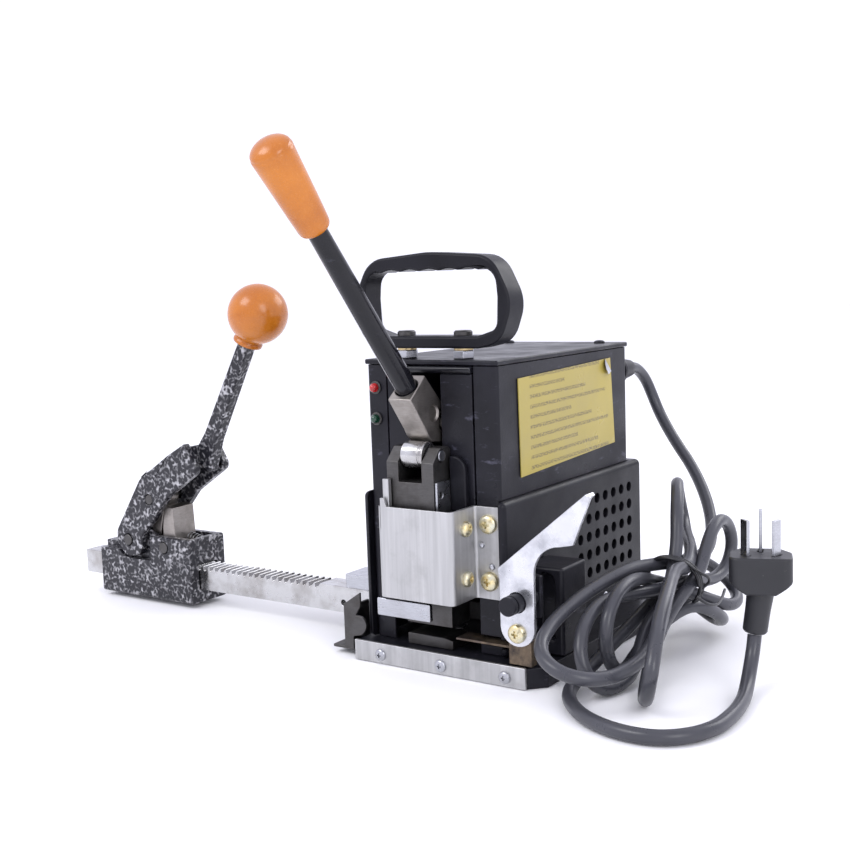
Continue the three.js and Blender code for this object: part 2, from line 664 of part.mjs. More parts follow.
/** Cast carriage: slot for the bar, pawl well, and a narrow tongue for the lever's fork. */
function carriageBody() {
  const z0 = CARRIAGE_BOTTOM;
  const shoulder = 34;
  const lowOutline = rectangle(CARRIAGE_FRONT, CARRIAGE_BACK, z0, shoulder + 4, 2);
  const low = alongX(lowOutline, CARRIAGE_LEFT, CARRIAGE_RIGHT);
  const tongueFront = CARRIAGE_FRONT + CHEEK + 0.5;
  const tongueBack = CARRIAGE_BACK - CHEEK - 0.5;
  const tongue = alongY([
    V2(TENSION_X - 16, 30), V2(-244, 30), V2(-244, CARRIAGE_TOP), V2(-252, CARRIAGE_TOP + 2),
    ...arc(TENSION_X, TENSION_Z, 8, 60, 180, 8), V2(TENSION_X - 16, 37),
  ], tongueFront, tongueBack);
  const highOutline = rectangle(CARRIAGE_FRONT, CARRIAGE_BACK, 20, CARRIAGE_TOP, 2);
  const high = alongX(highOutline, -245.5, CARRIAGE_RIGHT);
  const barBack = BAR_FRONT + BAR_SIZE + 0.4;
  const barSlot = box(-400, 0, BAR_FRONT - 0.4, barBack, BAR_BOTTOM - 0.4, BAR_TOP + 0.4);
  const well = box(-259, CARRIAGE_RIGHT - 4, tongueFront + 3, tongueBack - 3, 20, 80);
  const wideWell = box(-244, CARRIAGE_RIGHT - 4, CARRIAGE_FRONT + 5.6, CARRIAGE_BACK - 5.6, BAR_TOP, 80);
  const sweep = 12.6;
  const nearNotch = join(
    rod(V3(TENSION_X, -80, TENSION_Z), V3(TENSION_X, tongueFront, TENSION_Z), sweep),
    box(-245.8 - 20, -245.6, -80, tongueFront, shoulder - 5, 70),
    box(-310, TENSION_X, -80, tongueFront, shoulder, 70),
  );
  const farNotch = join(
    rod(V3(TENSION_X, tongueBack, TENSION_Z), V3(TENSION_X, 0, TENSION_Z), sweep),
    box(-245.8 - 20, -245.6, tongueBack, 0, shoulder - 5, 70),
    box(-310, TENSION_X, tongueBack, 0, shoulder, 70),
  );
  const pinBore = rod(V3(PAWL_X, -80, PAWL_Z), V3(PAWL_X, 0, PAWL_Z), 4);
  const leverBore = rod(V3(TENSION_X, -80, TENSION_Z), V3(TENSION_X, 0, TENSION_Z), 4);
  return cut(join(low, tongue, high), barSlot, well, wideWell, nearNotch, farNotch, pinBore, leverBore);
}

/** Pin across the carriage at (x, z), its ends "proud" of the body's sides. */
const crossPin = (x, z, proud, radius) => rod(
  V3(x, CARRIAGE_FRONT - proud, z), V3(x, CARRIAGE_BACK + proud, z), radius,
);
const tensionPin = () => crossPin(TENSION_X, TENSION_Z, 0.6, 3.7);
const pawlPin = () => crossPin(PAWL_X, PAWL_Z, 0.6, 3.7);
const drivePin = () => crossPin(DRIVE_X, DRIVE_Z, -0.4, 3.4);

/** Fork with two cheeks, a bridge and a flat arm that runs up to the knob. */
function tensionLever() {
  const armFoot = V2(-203, 100);
  const knob = V2(BALL_X, BALL_Z);
  const along = knob.clone().sub(armFoot).normalize();
  const side = V2(-along.y, along.x);
  const armEnd = knob.clone().addScaledVector(along, -BALL_RADIUS + 6);
  const cheek = rounded([
    [-277.5, 39, 8], [-277.5, 47, 9], [-252, 84, 10], [-224, 101.5, 4],
    [-208, 110, 0], [-197, 92, 5], [-226, 73.5, 8], [-238, 60, 12], [-252, 46, 6], [-255.5, 31, 8],
    [-270, 30, 9],
  ]);
  if (THREE.ShapeUtils.isClockWise(cheek)) cheek.reverse();
  const near = alongY(cheek, CARRIAGE_FRONT, CARRIAGE_FRONT + CHEEK);
  const far = alongY(cheek, CARRIAGE_BACK - CHEEK, CARRIAGE_BACK);
  const bridge = alongY([
    V2(-252.5, 83), V2(-246, 77), V2(-231, 88), V2(-205, 97), V2(-208, 108), V2(-225, 100.5),
    V2(-250, 85.5),
  ], CARRIAGE_FRONT + 1, CARRIAGE_BACK - 1);
  const foot = armFoot.clone().addScaledVector(along, -6);
  const arm = alongY([
    foot.clone().addScaledVector(side, -9),
    armFoot.clone().addScaledVector(along, 16).addScaledVector(side, -5.4),
    armEnd.clone().addScaledVector(side, -4.2),
    armEnd.clone().addScaledVector(side, 4.2),
    armFoot.clone().addScaledVector(along, 16).addScaledVector(side, 5.4),
    foot.clone().addScaledVector(side, 9),
  ], BAR_Y - 4.2, BAR_Y + 4.2);
  const bore = rod(V3(TENSION_X, -80, TENSION_Z), V3(TENSION_X, 0, TENSION_Z), 4);
  const driveBore = rod(V3(DRIVE_X, -80, DRIVE_Z), V3(DRIVE_X, 0, DRIVE_Z), 3.7);
  return cut(join(near, far, bridge, arm), bore, driveBore);
}

/** Ball knob with a short collar where the arm enters it. */
function ballKnob() {
  const along = V3(BALL_X + 203, 0, BALL_Z - 100).normalize();
  const foot = V3(BALL_X, BAR_Y, BALL_Z).addScaledVector(along, -BALL_RADIUS);
  const r = BALL_RADIUS;
  const points = arc(0, r, r, -66, 90, 14).map((p) => [Math.max(p.x, 0), p.y]);
  const profile = [[0, 6.8], [8.3, 6.8], [8.3, -1.5], [9.4, -1.5], [9.6, 0.4], ...points];
  profile[profile.length - 1][0] = 0;
  return turned(profile, foot, foot.clone().add(along), 28);
}

/** Pawl on the carriage that holds the rack between strokes. */
function holdPawl() {
  const outline = [
    ...arc(PAWL_X, PAWL_Z, 6.4, 180, 235, 4), V2(-232, 30), V2(-224, BAR_TOP + 0.5),
    V2(-222.8, BAR_TOP + 0.5), V2(-225, 34), V2(-227.4, 44), V2(-228.6, 65), V2(-236, 66), V2(-238.5, 50),
  ];
  if (THREE.ShapeUtils.isClockWise(outline)) outline.reverse();
  const body = alongY(outline, BAR_Y - 9.6, BAR_Y + 9.6);
  return cut(body, rod(V3(PAWL_X, -80, PAWL_Z), V3(PAWL_X, 0, PAWL_Z), 4));
}

/** Pawl on the lever that pushes the rack on each stroke. */
function drivePawl() {
  const outline = [
    ...arc(DRIVE_X, DRIVE_Z, 6, -20, 200, 12), V2(-252, 48), V2(-251.5, 31), V2(-247.8, BAR_TOP + 0.5),
    V2(-246.6, BAR_TOP + 0.5), V2(-245.4, 34), V2(-243, 52),
  ];
  const body = alongY(outline, BAR_Y - 6.4, BAR_Y + 6.4);
  return cut(body, rod(V3(DRIVE_X, -80, DRIVE_Z), V3(DRIVE_X, 0, DRIVE_Z), 3.7));
}

const pawlSpring = () => spring(
  V3(-224.9, BAR_Y + 1, 44.5), V3(CARRIAGE_RIGHT - 5, BAR_Y + 1, 42), 3.4, 1, 5,
);

// ---------------------------------------------------------------- carry handle

/** Closed loop handle with finger scallops under its top bar. */
function carryHandle() {
  const outer = rounded([
    [-30, HANDLE_BOTTOM, 6], [30, HANDLE_BOTTOM, 6], [44, HANDLE_BOTTOM + 3, 14],
    [HANDLE_HALF, HANDLE_TOP - 26, 20], [HANDLE_HALF - 12, HANDLE_TOP - 2, 16],
    [0, HANDLE_TOP + 1, 60], [-HANDLE_HALF + 12, HANDLE_TOP - 2, 16],
    [-HANDLE_HALF, HANDLE_TOP - 26, 20], [-44, HANDLE_BOTTOM + 3, 14],
  ], 6);
  const low = HANDLE_BOTTOM + 6.5;
  const high = HANDLE_TOP - 8.5;
  const scallops = [];
  const count = 5;
  for (let i = 0; i <= count * 8; i += 1) {
    const t = i / (count * 8);
    scallops.push(V2(31 - 62 * t, high + 1.3 * Math.abs(Math.sin(t * count * Math.PI)) - 0.8));
  }
  const inner = [
    V2(-30, low), V2(30, low), ...arc(36, low + 8, 6, -60, 0, 4), V2(42.5, low + 20),
    ...arc(33, high - 9, 9, 0, 80, 5), ...scallops, ...arc(-33, high - 9, 9, 100, 180, 5),
    V2(-42.5, low + 20), ...arc(-36, low + 8, 6, 180, 240, 4),
  ];
  const loop = alongY(outer, HANDLE_Y - 8, HANDLE_Y + 8, [inner]);
  const bore = (x) => rod(V3(x, HANDLE_Y, 160), V3(x, HANDLE_Y, 190), 2.9);
  return cut(loop, bore(-HANDLE_BOLT_X - 2), bore(HANDLE_BOLT_X - 2));
}

/** Bolt through the lower bar, with its nut standing on the top plate. */
const handleBolt = (x) => turned([
  [0, TOP_Z + GAP], [5.4, TOP_Z + GAP], [5.4, HANDLE_BOTTOM - GAP], [2.6, HANDLE_BOTTOM - GAP],
  [2.6, HANDLE_BOTTOM + 6.8], [5.4, HANDLE_BOTTOM + 6.8], [5.4, HANDLE_BOTTOM + 10],
  [4.4, HANDLE_BOTTOM + 10.8], [0, HANDLE_BOTTOM + 10.8],
], V3(x, HANDLE_Y, 0), V3(x, HANDLE_Y, 1), 12);

// ---------------------------------------------------------------- trim

const led = (z) => turned(
  [[0, GAP], [3.4, GAP], [3.4, 0.9], [2.6, 0.9], [2.6, 2.2], [2, 3.7], [0.9, 4.6], [0, 4.8]],
  V3(-36, CHASSIS_FRONT, z), V3(-36, -100, z), 20,
);

const label = () => alongX(
  [V2(-55, 104), V2(57, 108.5), V2(52.5, 160), V2(-56, 157)], HALF_WIDTH + GAP, HALF_WIDTH + GAP + 0.6,
);

const transformerCore = () => cut(
  box(-36, 4, -24, 32, BASE_TOP + GAP, 62), box(-26, -6, -40, 50, 22, 52),
);

const transformerCoil = () => cut(
  alongY(rectangle(-38, 6, 14, 60, 4), 33, 50), box(-60, 20, 34.5, 48.5, 0, 10),
);

function cableGland() {
  const seat = V3(33, CHASSIS_BACK + GAP, 150);
  const profile = [
    [3.9, 0], [9, 0], [9, 3], [7.4, 4], [6.8, 9], [6.2, 15], [5.4, 21], [4.6, 22], [3.9, 22], [3.9, 0],
  ];
  return turned(profile, seat, seat.clone().add(V3(0, 1, 0)), 24);
}

// ---------------------------------------------------------------- mains cord and plug

/** Round tube along a smooth curve through the given points. */
function tube(points, diameter, sides, steps) {
  const section = new THREE.Shape(arc(0, 0, diameter / 2, 0, 360 - 360 / sides, sides - 1));
  const extrudePath = new THREE.CatmullRomCurve3(points.map((p) => V3(...p)), false, 'centripetal');
  return new THREE.ExtrudeGeometry(section, { steps, extrudePath, bevelEnabled: false });
}

const cordLead = () => tube([
  [33, 98.7, 150], [33, 105, 149.2], [33.6, 112, 145], [35.6, 117, 136.5], [40, 119, 124],
  [48, 117, 111.5], [58, 112, 100.5], [70, 105.5, 89.5], [81, 97, 78.5], [91, 85.5, 67],
  [98, 73.5, 57], [100.3, 67.8, 53.2],
], CORD, 10, 14);

const cordTail = () => tube([
  [85.5, -68, 8.3], [85, -78, 5.6], [87, -89, 4.1], [95, -102, 3.9], [107, -114, 3.9],
  [121, -122.5, 3.9], [136, -127, 3.9], [150, -126, 3.9], [162, -117, 3.9], [168, -101, 3.9],
  [168.5, -81, 3.9], [166.5, -64, 3.9], [163.6, -50, 4.6], [161.2, -39.5, 8], [159.8, -31.8, 14],
  [159.6, -26.7, 20.5], [159.7, -26, 26.8],
], CORD, 10, 26);

/** Outer shape of the tied hank that leans beside the head. */
function cordHank() {
  const outline = [
    V2(-119, 12.5), V2(-20, 12.5), V2(40, 20), V2(60, 34), V2(66, 60), V2(38, 90), V2(12, 82),
    V2(-20, 58), V2(-60, 50), V2(-119, 44),
  ];
  const low = [V2(-107, 4), V2(-30, 4), V2(0, 14), V2(0, 40), V2(-107, 30)];
  return join(alongX(outline, 78.5, 131), alongX(low, 110, 137));
}

const PLUG = V3(162.5, -25, 28);
const PLUG_TURN = 20 * Math.PI / 180;

/** Plug standing on its cord with its pins up: a wedge-sided head on a ribbed boot. */
function plugBody() {
  const plan = alongZ(rounded([
    [-15.4, -11.5, 5], [15.4, -11.5, 5], [15.4, 5, 5], [10, 13.5, 4], [-10, 13.5, 4], [-15.4, 5, 5],
  ]), 19, 40.5);
  const wedge = alongY([
    V2(-15.5, 41), V2(-15.5, 27.5), V2(-7.2, 21.8), V2(7.2, 21.8), V2(15.5, 27.5), V2(15.5, 41),
  ], -12.5, 14.5);
  const head = toSolid(plan).intersect(toSolid(wedge));
  const profile = [[0, 0], [5.4, 0], [6.2, 1.6], [6.3, 12], [6.9, 23], [0, 23]];
  const boot = turned(profile, V3(-3, 0, 0), V3(0, 0, 22), 20);
  const slots = [0, 1, 2].map((i) => pinShape(i, 33, 45, 0.3));
  return cut(fromSolid(head.add(toSolid(boot))), ...slots);
}

/** Flat pin number i: two slanted live pins, and a straight earth pin between them. */
function pinShape(i, low, high, grow = 0) {
  const along = 3.2 + grow;
  const across = 0.85 + grow;
  const [x, y, degrees] = [[-7.5, -2.5, 30], [0, 7.6, 0], [7.5, -2.5, -30]][i];
  return box(-across, across, -along, along, low, high)
    .rotateZ(degrees * Math.PI / 180)
    .translate(x, y, 0);
}

// ---------------------------------------------------------------- assembly

add('base_plate', basePlate(), blackPaint);
add('front_strip', frontStrip(), brushedAluminium);
add('left_bracket', leftBracket(), darkSteel);
add('anvil', anvil(), bareSteel);
add('chassis', chassis(), blackPaint);
add('lower_cover', lowerCover(), blackPlastic);
add('top_plate', topPlate(), blackPaint);
add('frame_plate_left', framePlate(-1), blackPaint);
add('frame_plate_right', framePlate(1), blackPaint);
add('lever_pivot_pin', leverPin(), darkSteel);
add('crossbar', crossbar(), blackPlastic);
add('spring_cover', springCover(), blackPlastic);
add('guard_plate', guardPlate(), brushedAluminium);
add('guard_screw_upper', headOnly(V3(35.6, -77.8, 82.4), V3(0, -1, 0), 5.2, 3.2), zincYellow);
add('guard_screw_lower', headOnly(V3(35.6, -77.8, 51.7), V3(0, -1, 0), 5.2, 3.2), zincYellow);
add('guide_strip', guideStrip(), chrome);
add('strap_bar', strapBar(), brushedAluminium);
add('lever_block', leverBlock(), bareSteel);
add('lever_rod', leverRod(), darkSteel);
add('lever_grip', leverGrip(), orangePlastic);
add('ram_block', ramBlock(), darkSteel);
add('ram_side_plate', ramSidePlate(), bareSteel);
add('roller_pin', rollerPin(), darkSteel);
add('roller', roller(), chrome);
add('press_spring', pressSpring(), darkSteel);
add('heater_lever', heaterLever(), chrome);
add('heater_pin', heaterPin(), blackPlastic);
add('heater_bracket', heaterBracket(), darkSteel);
add('heater_screw', heaterScrew(), zincYellow);
add('heater_block', heaterBlock(), bareSteel);
add('heater_blade', heaterBlade(), darkSteel);
add('heater_shield', heaterShield(), blackPlastic);
add('rack_bar', rackBar(), chrome);
add('rack_clamp', rackClamp(), chrome);
add('carriage_body', carriageBody(), hammertone);
add('tension_pin', tensionPin(), darkSteel);
add('pawl_pin', pawlPin(), darkSteel);
add('drive_pin', drivePin(), darkSteel);
add('tension_lever', tensionLever(), hammertone);
add('ball_knob', ballKnob(), orangePlastic);
add('hold_pawl', holdPawl(), bareSteel);
add('drive_pawl', drivePawl(), bareSteel);
add('pawl_spring', pawlSpring(), darkSteel);
add('carry_handle', carryHandle(), blackPlastic);
add('handle_bolt_left', handleBolt(-HANDLE_BOLT_X - 2), chrome);
add('handle_bolt_right', handleBolt(HANDLE_BOLT_X - 2), chrome);
add('led_red', led(152.4), redLens);
add('led_green', led(135.2), greenLens);
add('label', label(), yellowLabel);
add('transformer_core', transformerCore(), darkSteel);
add('transformer_coil', transformerCoil(), copper);
add('cable_gland', cableGland(), blackPlastic);
add('cord_lead', cordLead(), greyRubber);
add('cord_hank', cordHank(), greyRubber);
add('cord_tail', cordTail(), greyRubber);
const plug = new THREE.Group();
plug.position.copy(PLUG);
plug.rotation.z = PLUG_TURN;
tool.add(plug);
add('plug_body', plugBody(), greyRubber, plug);
['plug_pin_left', 'plug_pin_earth', 'plug_pin_right'].forEach((name, i) => {
  add(name, pinShape(i, 33.4, i === 1 ? 61.5 : 58.3), chrome, plug);
});

export default tool;
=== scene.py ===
"""Looks of the hand-levered hot-melt strapping tool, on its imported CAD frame."""
import json
from math import cos, pi, radians, sin

import bmesh
import bpy
import numpy as np
from mathutils import Matrix, Vector


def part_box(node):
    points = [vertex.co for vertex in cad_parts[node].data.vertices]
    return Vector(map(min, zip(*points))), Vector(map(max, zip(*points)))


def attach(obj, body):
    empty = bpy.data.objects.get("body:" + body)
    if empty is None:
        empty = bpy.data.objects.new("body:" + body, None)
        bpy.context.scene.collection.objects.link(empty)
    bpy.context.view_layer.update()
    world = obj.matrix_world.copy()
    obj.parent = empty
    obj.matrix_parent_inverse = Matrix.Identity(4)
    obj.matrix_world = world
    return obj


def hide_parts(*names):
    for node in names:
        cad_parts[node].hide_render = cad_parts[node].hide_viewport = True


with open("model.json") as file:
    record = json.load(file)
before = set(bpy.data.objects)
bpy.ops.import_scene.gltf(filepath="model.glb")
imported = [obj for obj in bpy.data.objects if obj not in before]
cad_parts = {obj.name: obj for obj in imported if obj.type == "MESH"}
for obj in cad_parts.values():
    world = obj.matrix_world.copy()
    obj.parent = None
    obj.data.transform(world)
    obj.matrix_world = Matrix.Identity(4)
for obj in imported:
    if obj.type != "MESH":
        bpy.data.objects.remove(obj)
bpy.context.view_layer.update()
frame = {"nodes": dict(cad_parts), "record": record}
scene = bpy.context.scene
MM = 0.001
body_of = {node: body for body, nodes in frame["record"]["behaviour"]["bodies"].items() for node in nodes}
slot_of = {s["node"]: s["material_slot"] for s in frame["record"]["subparts"]}


def mm(x, y, z):
    """A point given in millimetres."""
    return Vector((x, y, z)) * MM


# ---------------------------------------------------------------- camera

def make_camera():
    yaw, pitch, roll = radians(35.03), radians(6.91), radians(-2.01)
    right = Vector((cos(yaw), sin(yaw), 0))
    back = Vector((sin(yaw) * cos(pitch), -cos(yaw) * cos(pitch), sin(pitch)))
    up = back.cross(right)
    x = cos(roll) * right + sin(roll) * up
    y = cos(roll) * up - sin(roll) * right
    data = bpy.data.cameras.new("camera")
    data.lens = 52.0
    data.sensor_width = 36
    camera = bpy.data.objects.new("camera", data)
    scene.collection.objects.link(camera)
    camera.matrix_world = Matrix((
        (x.x, y.x, back.x, 0.3722), (x.y, y.y, back.y, -0.6127), (x.z, y.z, back.z, 0.2123), (0, 0, 0, 1),
    ))
    scene.camera = camera


# ---------------------------------------------------------------- materials

class Nodes:
    """Short names for building one node material."""

    def __init__(self, name):
        self.material = bpy.data.materials.new(name)
        self.material.use_nodes = True
        self.tree = self.material.node_tree
        self.shader = self.tree.nodes["Principled BSDF"]
        self.place = self.new("ShaderNodeTexCoord").outputs["Object"]

    def new(self, kind, **settings):
        node = self.tree.nodes.new(kind)
        for key, value in settings.items():
            setattr(node, key, value)
        return node

    def link(self, source, target):
        self.tree.links.new(source, target)

    def put(self, socket, value):
        if isinstance(value, bpy.types.NodeSocket):
            self.link(value, socket)
        else:
            socket.default_value = value

    def noise(self, scale, detail=4, stretch=None, rough=0.55):
        node = self.new("ShaderNodeTexNoise")
        node.inputs["Scale"].default_value = scale
        node.inputs["Detail"].default_value = detail
        node.inputs["Roughness"].default_value = rough
        place = self.place
        if stretch:
            mapping = self.new("ShaderNodeMapping")
            mapping.inputs["Scale"].default_value = stretch
            self.link(place, mapping.inputs["Vector"])
            place = mapping.outputs["Vector"]
        self.link(place, node.inputs["Vector"])
        return node.outputs["Fac"]

    def span(self, value, low, high, out_low=0.0, out_high=1.0):
        node = self.new("ShaderNodeMapRange")
        self.link(value, node.inputs["Value"])
        for socket, number in zip(node.inputs[1:5], (low, high, out_low, out_high)):
            socket.default_value = number
        return node.outputs["Result"]

    def math(self, operation, a, b=0.0):
        node = self.new("ShaderNodeMath", operation=operation)
        self.put(node.inputs[0], a)
        self.put(node.inputs[1], b)
        return node.outputs[0]

    def mix(self, factor, a, b):
        node = self.new("ShaderNodeMix", data_type="RGBA")
        self.put(node.inputs[0], factor)
        self.put(node.inputs[6], a)
        self.put(node.inputs[7], b)
        return node.outputs[2]

    def axis(self, name):
        node = self.new("ShaderNodeSeparateXYZ")
        self.link(self.place, node.inputs[0])
        return node.outputs[name]

    def edge(self, radius):
        """1 on worn edges, 0 on faces: how far a rounded normal leans from the real one."""
        bevel = self.new("ShaderNodeBevel", samples=4)
        bevel.inputs["Radius"].default_value = radius
        geometry = self.new("ShaderNodeNewGeometry")
        dot = self.new("ShaderNodeVectorMath", operation="DOT_PRODUCT")
        self.link(bevel.outputs[0], dot.inputs[0])
        self.link(geometry.outputs["Normal"], dot.inputs[1])
        return self.span(dot.outputs["Value"], 0.97, 0.85)

    def bump(self, height, strength, distance=0.0002):
        node = self.new("ShaderNodeBump")
        node.inputs["Strength"].default_value = strength
        node.inputs["Distance"].default_value = distance
        self.link(height, node.inputs["Height"])
        self.link(node.outputs["Normal"], self.shader.inputs["Normal"])

    def finish(self, colour, roughness, metallic=0.0, **constants):
        self.put(self.shader.inputs["Base Color"], colour)
        self.put(self.shader.inputs["Roughness"], roughness)
        self.put(self.shader.inputs["Metallic"], metallic)
        for key, value in constants.items():
            self.shader.inputs[key.replace("_", " ")].default_value = value
        return self.material


def grey(value, tint=(1.0, 1.0, 1.0)):
    return (value * tint[0], value * tint[1], value * tint[2], 1.0)


COOL = (0.92, 0.91, 1.25)


def painted(name, base, gloss, scuff_and_sheen=0.5, wear=0.35, level=0.22):
    """Stoved paint on steel: soft mottling, pale scuffs that are partly painted sheen, fine scratches and
    rubbed edges.
    """
    n = Nodes(name)
    mottle = n.span(n.noise(35, 6), 0.35, 0.7)
    colour = n.mix(mottle, grey(base * 0.8, COOL), grey(base * 1.5, COOL))
    # Pale blue-grey streaks: partly real scuffing, partly painted sheen standing for light on the flat
    # panels.
    scuffs_and_sheen = n.math("MULTIPLY", n.span(n.noise(60, 8, (1, 1, 3), 0.7), 0.60, 0.74), scuff_and_sheen)
    colour = n.mix(scuffs_and_sheen, colour, grey(0.16, COOL))
    scratches = n.math("MULTIPLY", n.span(n.noise(90, 3, (1, 1, 24)), 0.72, 0.76), 0.35 * scuff_and_sheen)
    colour = n.mix(scratches, colour, grey(0.3, COOL))
    edges = n.math("MULTIPLY", n.edge(0.0006), n.span(n.noise(140, 5), 0.45, 0.62))
    colour = n.mix(n.math("MULTIPLY", edges, wear), colour, grey(0.34, COOL))
    n.bump(n.noise(900, 2), 0.25)
    gleam = n.span(n.noise(45, 6), 0.3, 0.7, gloss - 0.08, gloss + 0.14)
    return n.finish(colour, gleam, 0.0, Specular_IOR_Level=level)


def moulded(name, base, rough):
    """Moulded plastic: fine spark-eroded grain and faint handling marks."""
    n = Nodes(name)
    colour = n.mix(n.span(n.noise(28, 6), 0.35, 0.7), grey(base * 0.75, COOL), grey(base * 1.45, COOL))
    dust = n.math("MULTIPLY", n.span(n.noise(420, 4, rough=0.7), 0.66, 0.78), 0.25)
    colour = n.mix(dust, colour, grey(0.12, COOL))
    n.bump(n.noise(1800, 3), 0.35)
    gleam = n.span(n.noise(50, 5), 0.3, 0.7, rough - 0.07, rough + 0.1)
    return n.finish(colour, gleam, 0.0, Specular_IOR_Level=0.2)


def steel(name, base, rough, tint=(1, 1, 1), stains=0.3):
    """Machined or plated steel: grinding lines, cloudy tarnish and small dark specks."""
    n = Nodes(name)
    lines = n.noise(260, 3, (1, 1, 30))
    colour = n.mix(n.span(lines, 0.3, 0.7), grey(base * 0.82, tint), grey(base * 1.12, tint))
    cloud = n.math("MULTIPLY", n.span(n.noise(70, 7, rough=0.65), 0.45, 0.75), stains)
    colour = n.mix(cloud, colour, grey(base * 0.32, (1.15, 1.0, 0.85)))
    specks = n.math("MULTIPLY", n.span(n.noise(700, 2), 0.70, 0.76), 0.6 * stains)
    colour = n.mix(specks, colour, grey(0.05))
    n.bump(lines, 0.12)
    return n.finish(colour, n.span(n.noise(110, 5), 0.3, 0.7, rough - 0.06, rough + 0.14), 1.0)


def glossy(name, colour_low, colour_high, sparkle=0.0):
    """Glossy phenolic with a depth of colour and, on the ball, a faint sparkle."""
    n = Nodes(name)
    colour = n.mix(n.span(n.noise(45, 4), 0.35, 0.7), colour_low, colour_high)
    fleck = n.math("MULTIPLY", n.span(n.noise(1700, 1), 0.62, 0.72), sparkle)
    colour = n.mix(fleck, colour, (0.9, 0.45, 0.16, 1))
    dark = n.math("MULTIPLY", n.span(n.noise(120, 7, rough=0.7), 0.64, 0.76), 0.35)
    colour = n.mix(dark, colour, (0.22, 0.06, 0.01, 1))
    marks = n.span(n.noise(160, 6, rough=0.7), 0.50, 0.75, 0.24, 0.40)
    n.bump(n.noise(300, 3), 0.05)
    return n.finish(colour, marks, 0.0, Coat_Weight=0.15, Coat_Roughness=0.15)


def hammered():
    """Hammertone enamel: dark cells with a silver net between them."""
    n = Nodes("hammertone")
    cells = n.new("ShaderNodeTexVoronoi", feature="SMOOTH_F1")
    cells.inputs["Scale"].default_value = 540
    warp = n.new("ShaderNodeVectorMath", operation="ADD")
    n.link(n.place, warp.inputs[0])
    soft = n.new("ShaderNodeTexNoise")
    soft.inputs["Scale"].default_value = 190
    n.link(n.place, soft.inputs["Vector"])
    shrink = n.new("ShaderNodeVectorMath", operation="SCALE")
    shrink.inputs["Scale"].default_value = 0.004
    n.link(soft.outputs["Color"], shrink.inputs[0])
    n.link(shrink.outputs[0], warp.inputs[1])
    n.link(warp.outputs[0], cells.inputs["Vector"])
    broken = n.span(n.noise(170, 4, rough=0.6), 0.36, 0.56)
    net = n.math("MULTIPLY", n.span(cells.outputs["Distance"], 0.42, 0.70), broken)
    colour = n.mix(net, grey(0.012, COOL), grey(0.50, (0.98, 0.97, 1.0)))
    chips = n.math("MULTIPLY", n.span(n.noise(75, 6, rough=0.7), 0.66, 0.74), 0.5)
    colour = n.mix(chips, colour, grey(0.20))
    n.bump(net, 0.4, 0.0003)
    gleam = n.span(n.noise(90, 4), 0.3, 0.7, 0.24, 0.38)
    return n.finish(colour, gleam, n.math("MULTIPLY", net, 0.8), Specular_IOR_Level=0.4)


def brushed_sheet():
    """Brushed aluminium: fine cross grain, faint smudges."""
    n = Nodes("aluminium")
    lines = n.noise(330, 3, (1, 1, 0.04))
    colour = n.mix(n.span(lines, 0.25, 0.75), grey(0.40), grey(0.56))
    smudge = n.math("MULTIPLY", n.span(n.noise(55, 6, rough=0.65), 0.50, 0.75), 0.45)
    colour = n.mix(smudge, colour, grey(0.26, (1.0, 0.98, 0.95)))
    n.bump(lines, 0.10)
    return n.finish(colour, n.span(n.noise(80, 4), 0.3, 0.7, 0.32, 0.48), 0.85)


def bright_stamping():
    """Nickelled stamping: nearly mirror-bright with rubbed clouds and dents."""
    n = Nodes("bright_stamping")
    cloud = n.span(n.noise(60, 7, rough=0.65), 0.42, 0.72)
    colour = n.mix(cloud, grey(0.70, (0.98, 0.99, 1.03)), grey(0.40, (0.95, 0.97, 1.05)))
    n.bump(n.noise(50, 5), 0.35, 0.0008)
    return n.finish(colour, n.span(n.noise(95, 6), 0.35, 0.7, 0.16, 0.44), 0.92)


def chrome():
    """Satin chrome with rubbed patches and fine lines round it."""
    n = Nodes("chrome_steel")
    colour = n.mix(n.span(n.noise(90, 5), 0.42, 0.7), grey(0.56), grey(0.38, (1.0, 0.97, 0.94)))
    lines = n.noise(420, 2, (0.05, 1, 1))
    n.bump(lines, 0.06)
    return n.finish(colour, n.span(n.noise(130, 6), 0.3, 0.72, 0.10, 0.34), 1.0)


def heat_stained():
    """Steel beside the heater: straw, brown and soot in blotches."""
    n = Nodes("heat_stained_steel")
    blotch = n.span(n.noise(110, 7, rough=0.7), 0.35, 0.68)
    colour = n.mix(blotch, (0.24, 0.18, 0.12, 1), (0.05, 0.042, 0.038, 1))
    straw = n.span(n.noise(45, 5), 0.5, 0.66)
    colour = n.mix(straw, colour, (0.16, 0.13, 0.115, 1))
    n.bump(n.noise(500, 4), 0.3)
    return n.finish(colour, n.span(n.noise(150, 4), 0.3, 0.7, 0.38, 0.6), 0.8)


def zinc_yellow():
    """Yellow passivated zinc with patches of grime."""
    n = Nodes("zinc_yellow")
    sheen = n.span(n.noise(160, 4), 0.35, 0.65)
    colour = n.mix(sheen, (0.80, 0.66, 0.34, 1), (0.62, 0.62, 0.50, 1))
    grime = n.math("MULTIPLY", n.span(n.noise(380, 5), 0.55, 0.72), 0.5)
    colour = n.mix(grime, colour, (0.16, 0.12, 0.07, 1))
    return n.finish(colour, n.span(n.noise(300, 3), 0.3, 0.7, 0.24, 0.42), 0.9)


def lens(name, deep, bright):
    """Coloured indicator lens."""
    n = Nodes(name)
    colour = n.mix(n.span(n.noise(400, 3), 0.3, 0.7), deep, bright)
    return n.finish(colour, n.span(n.noise(600, 2), 0.3, 0.7, 0.08, 0.16), 0.0, Coat_Weight=0.6)


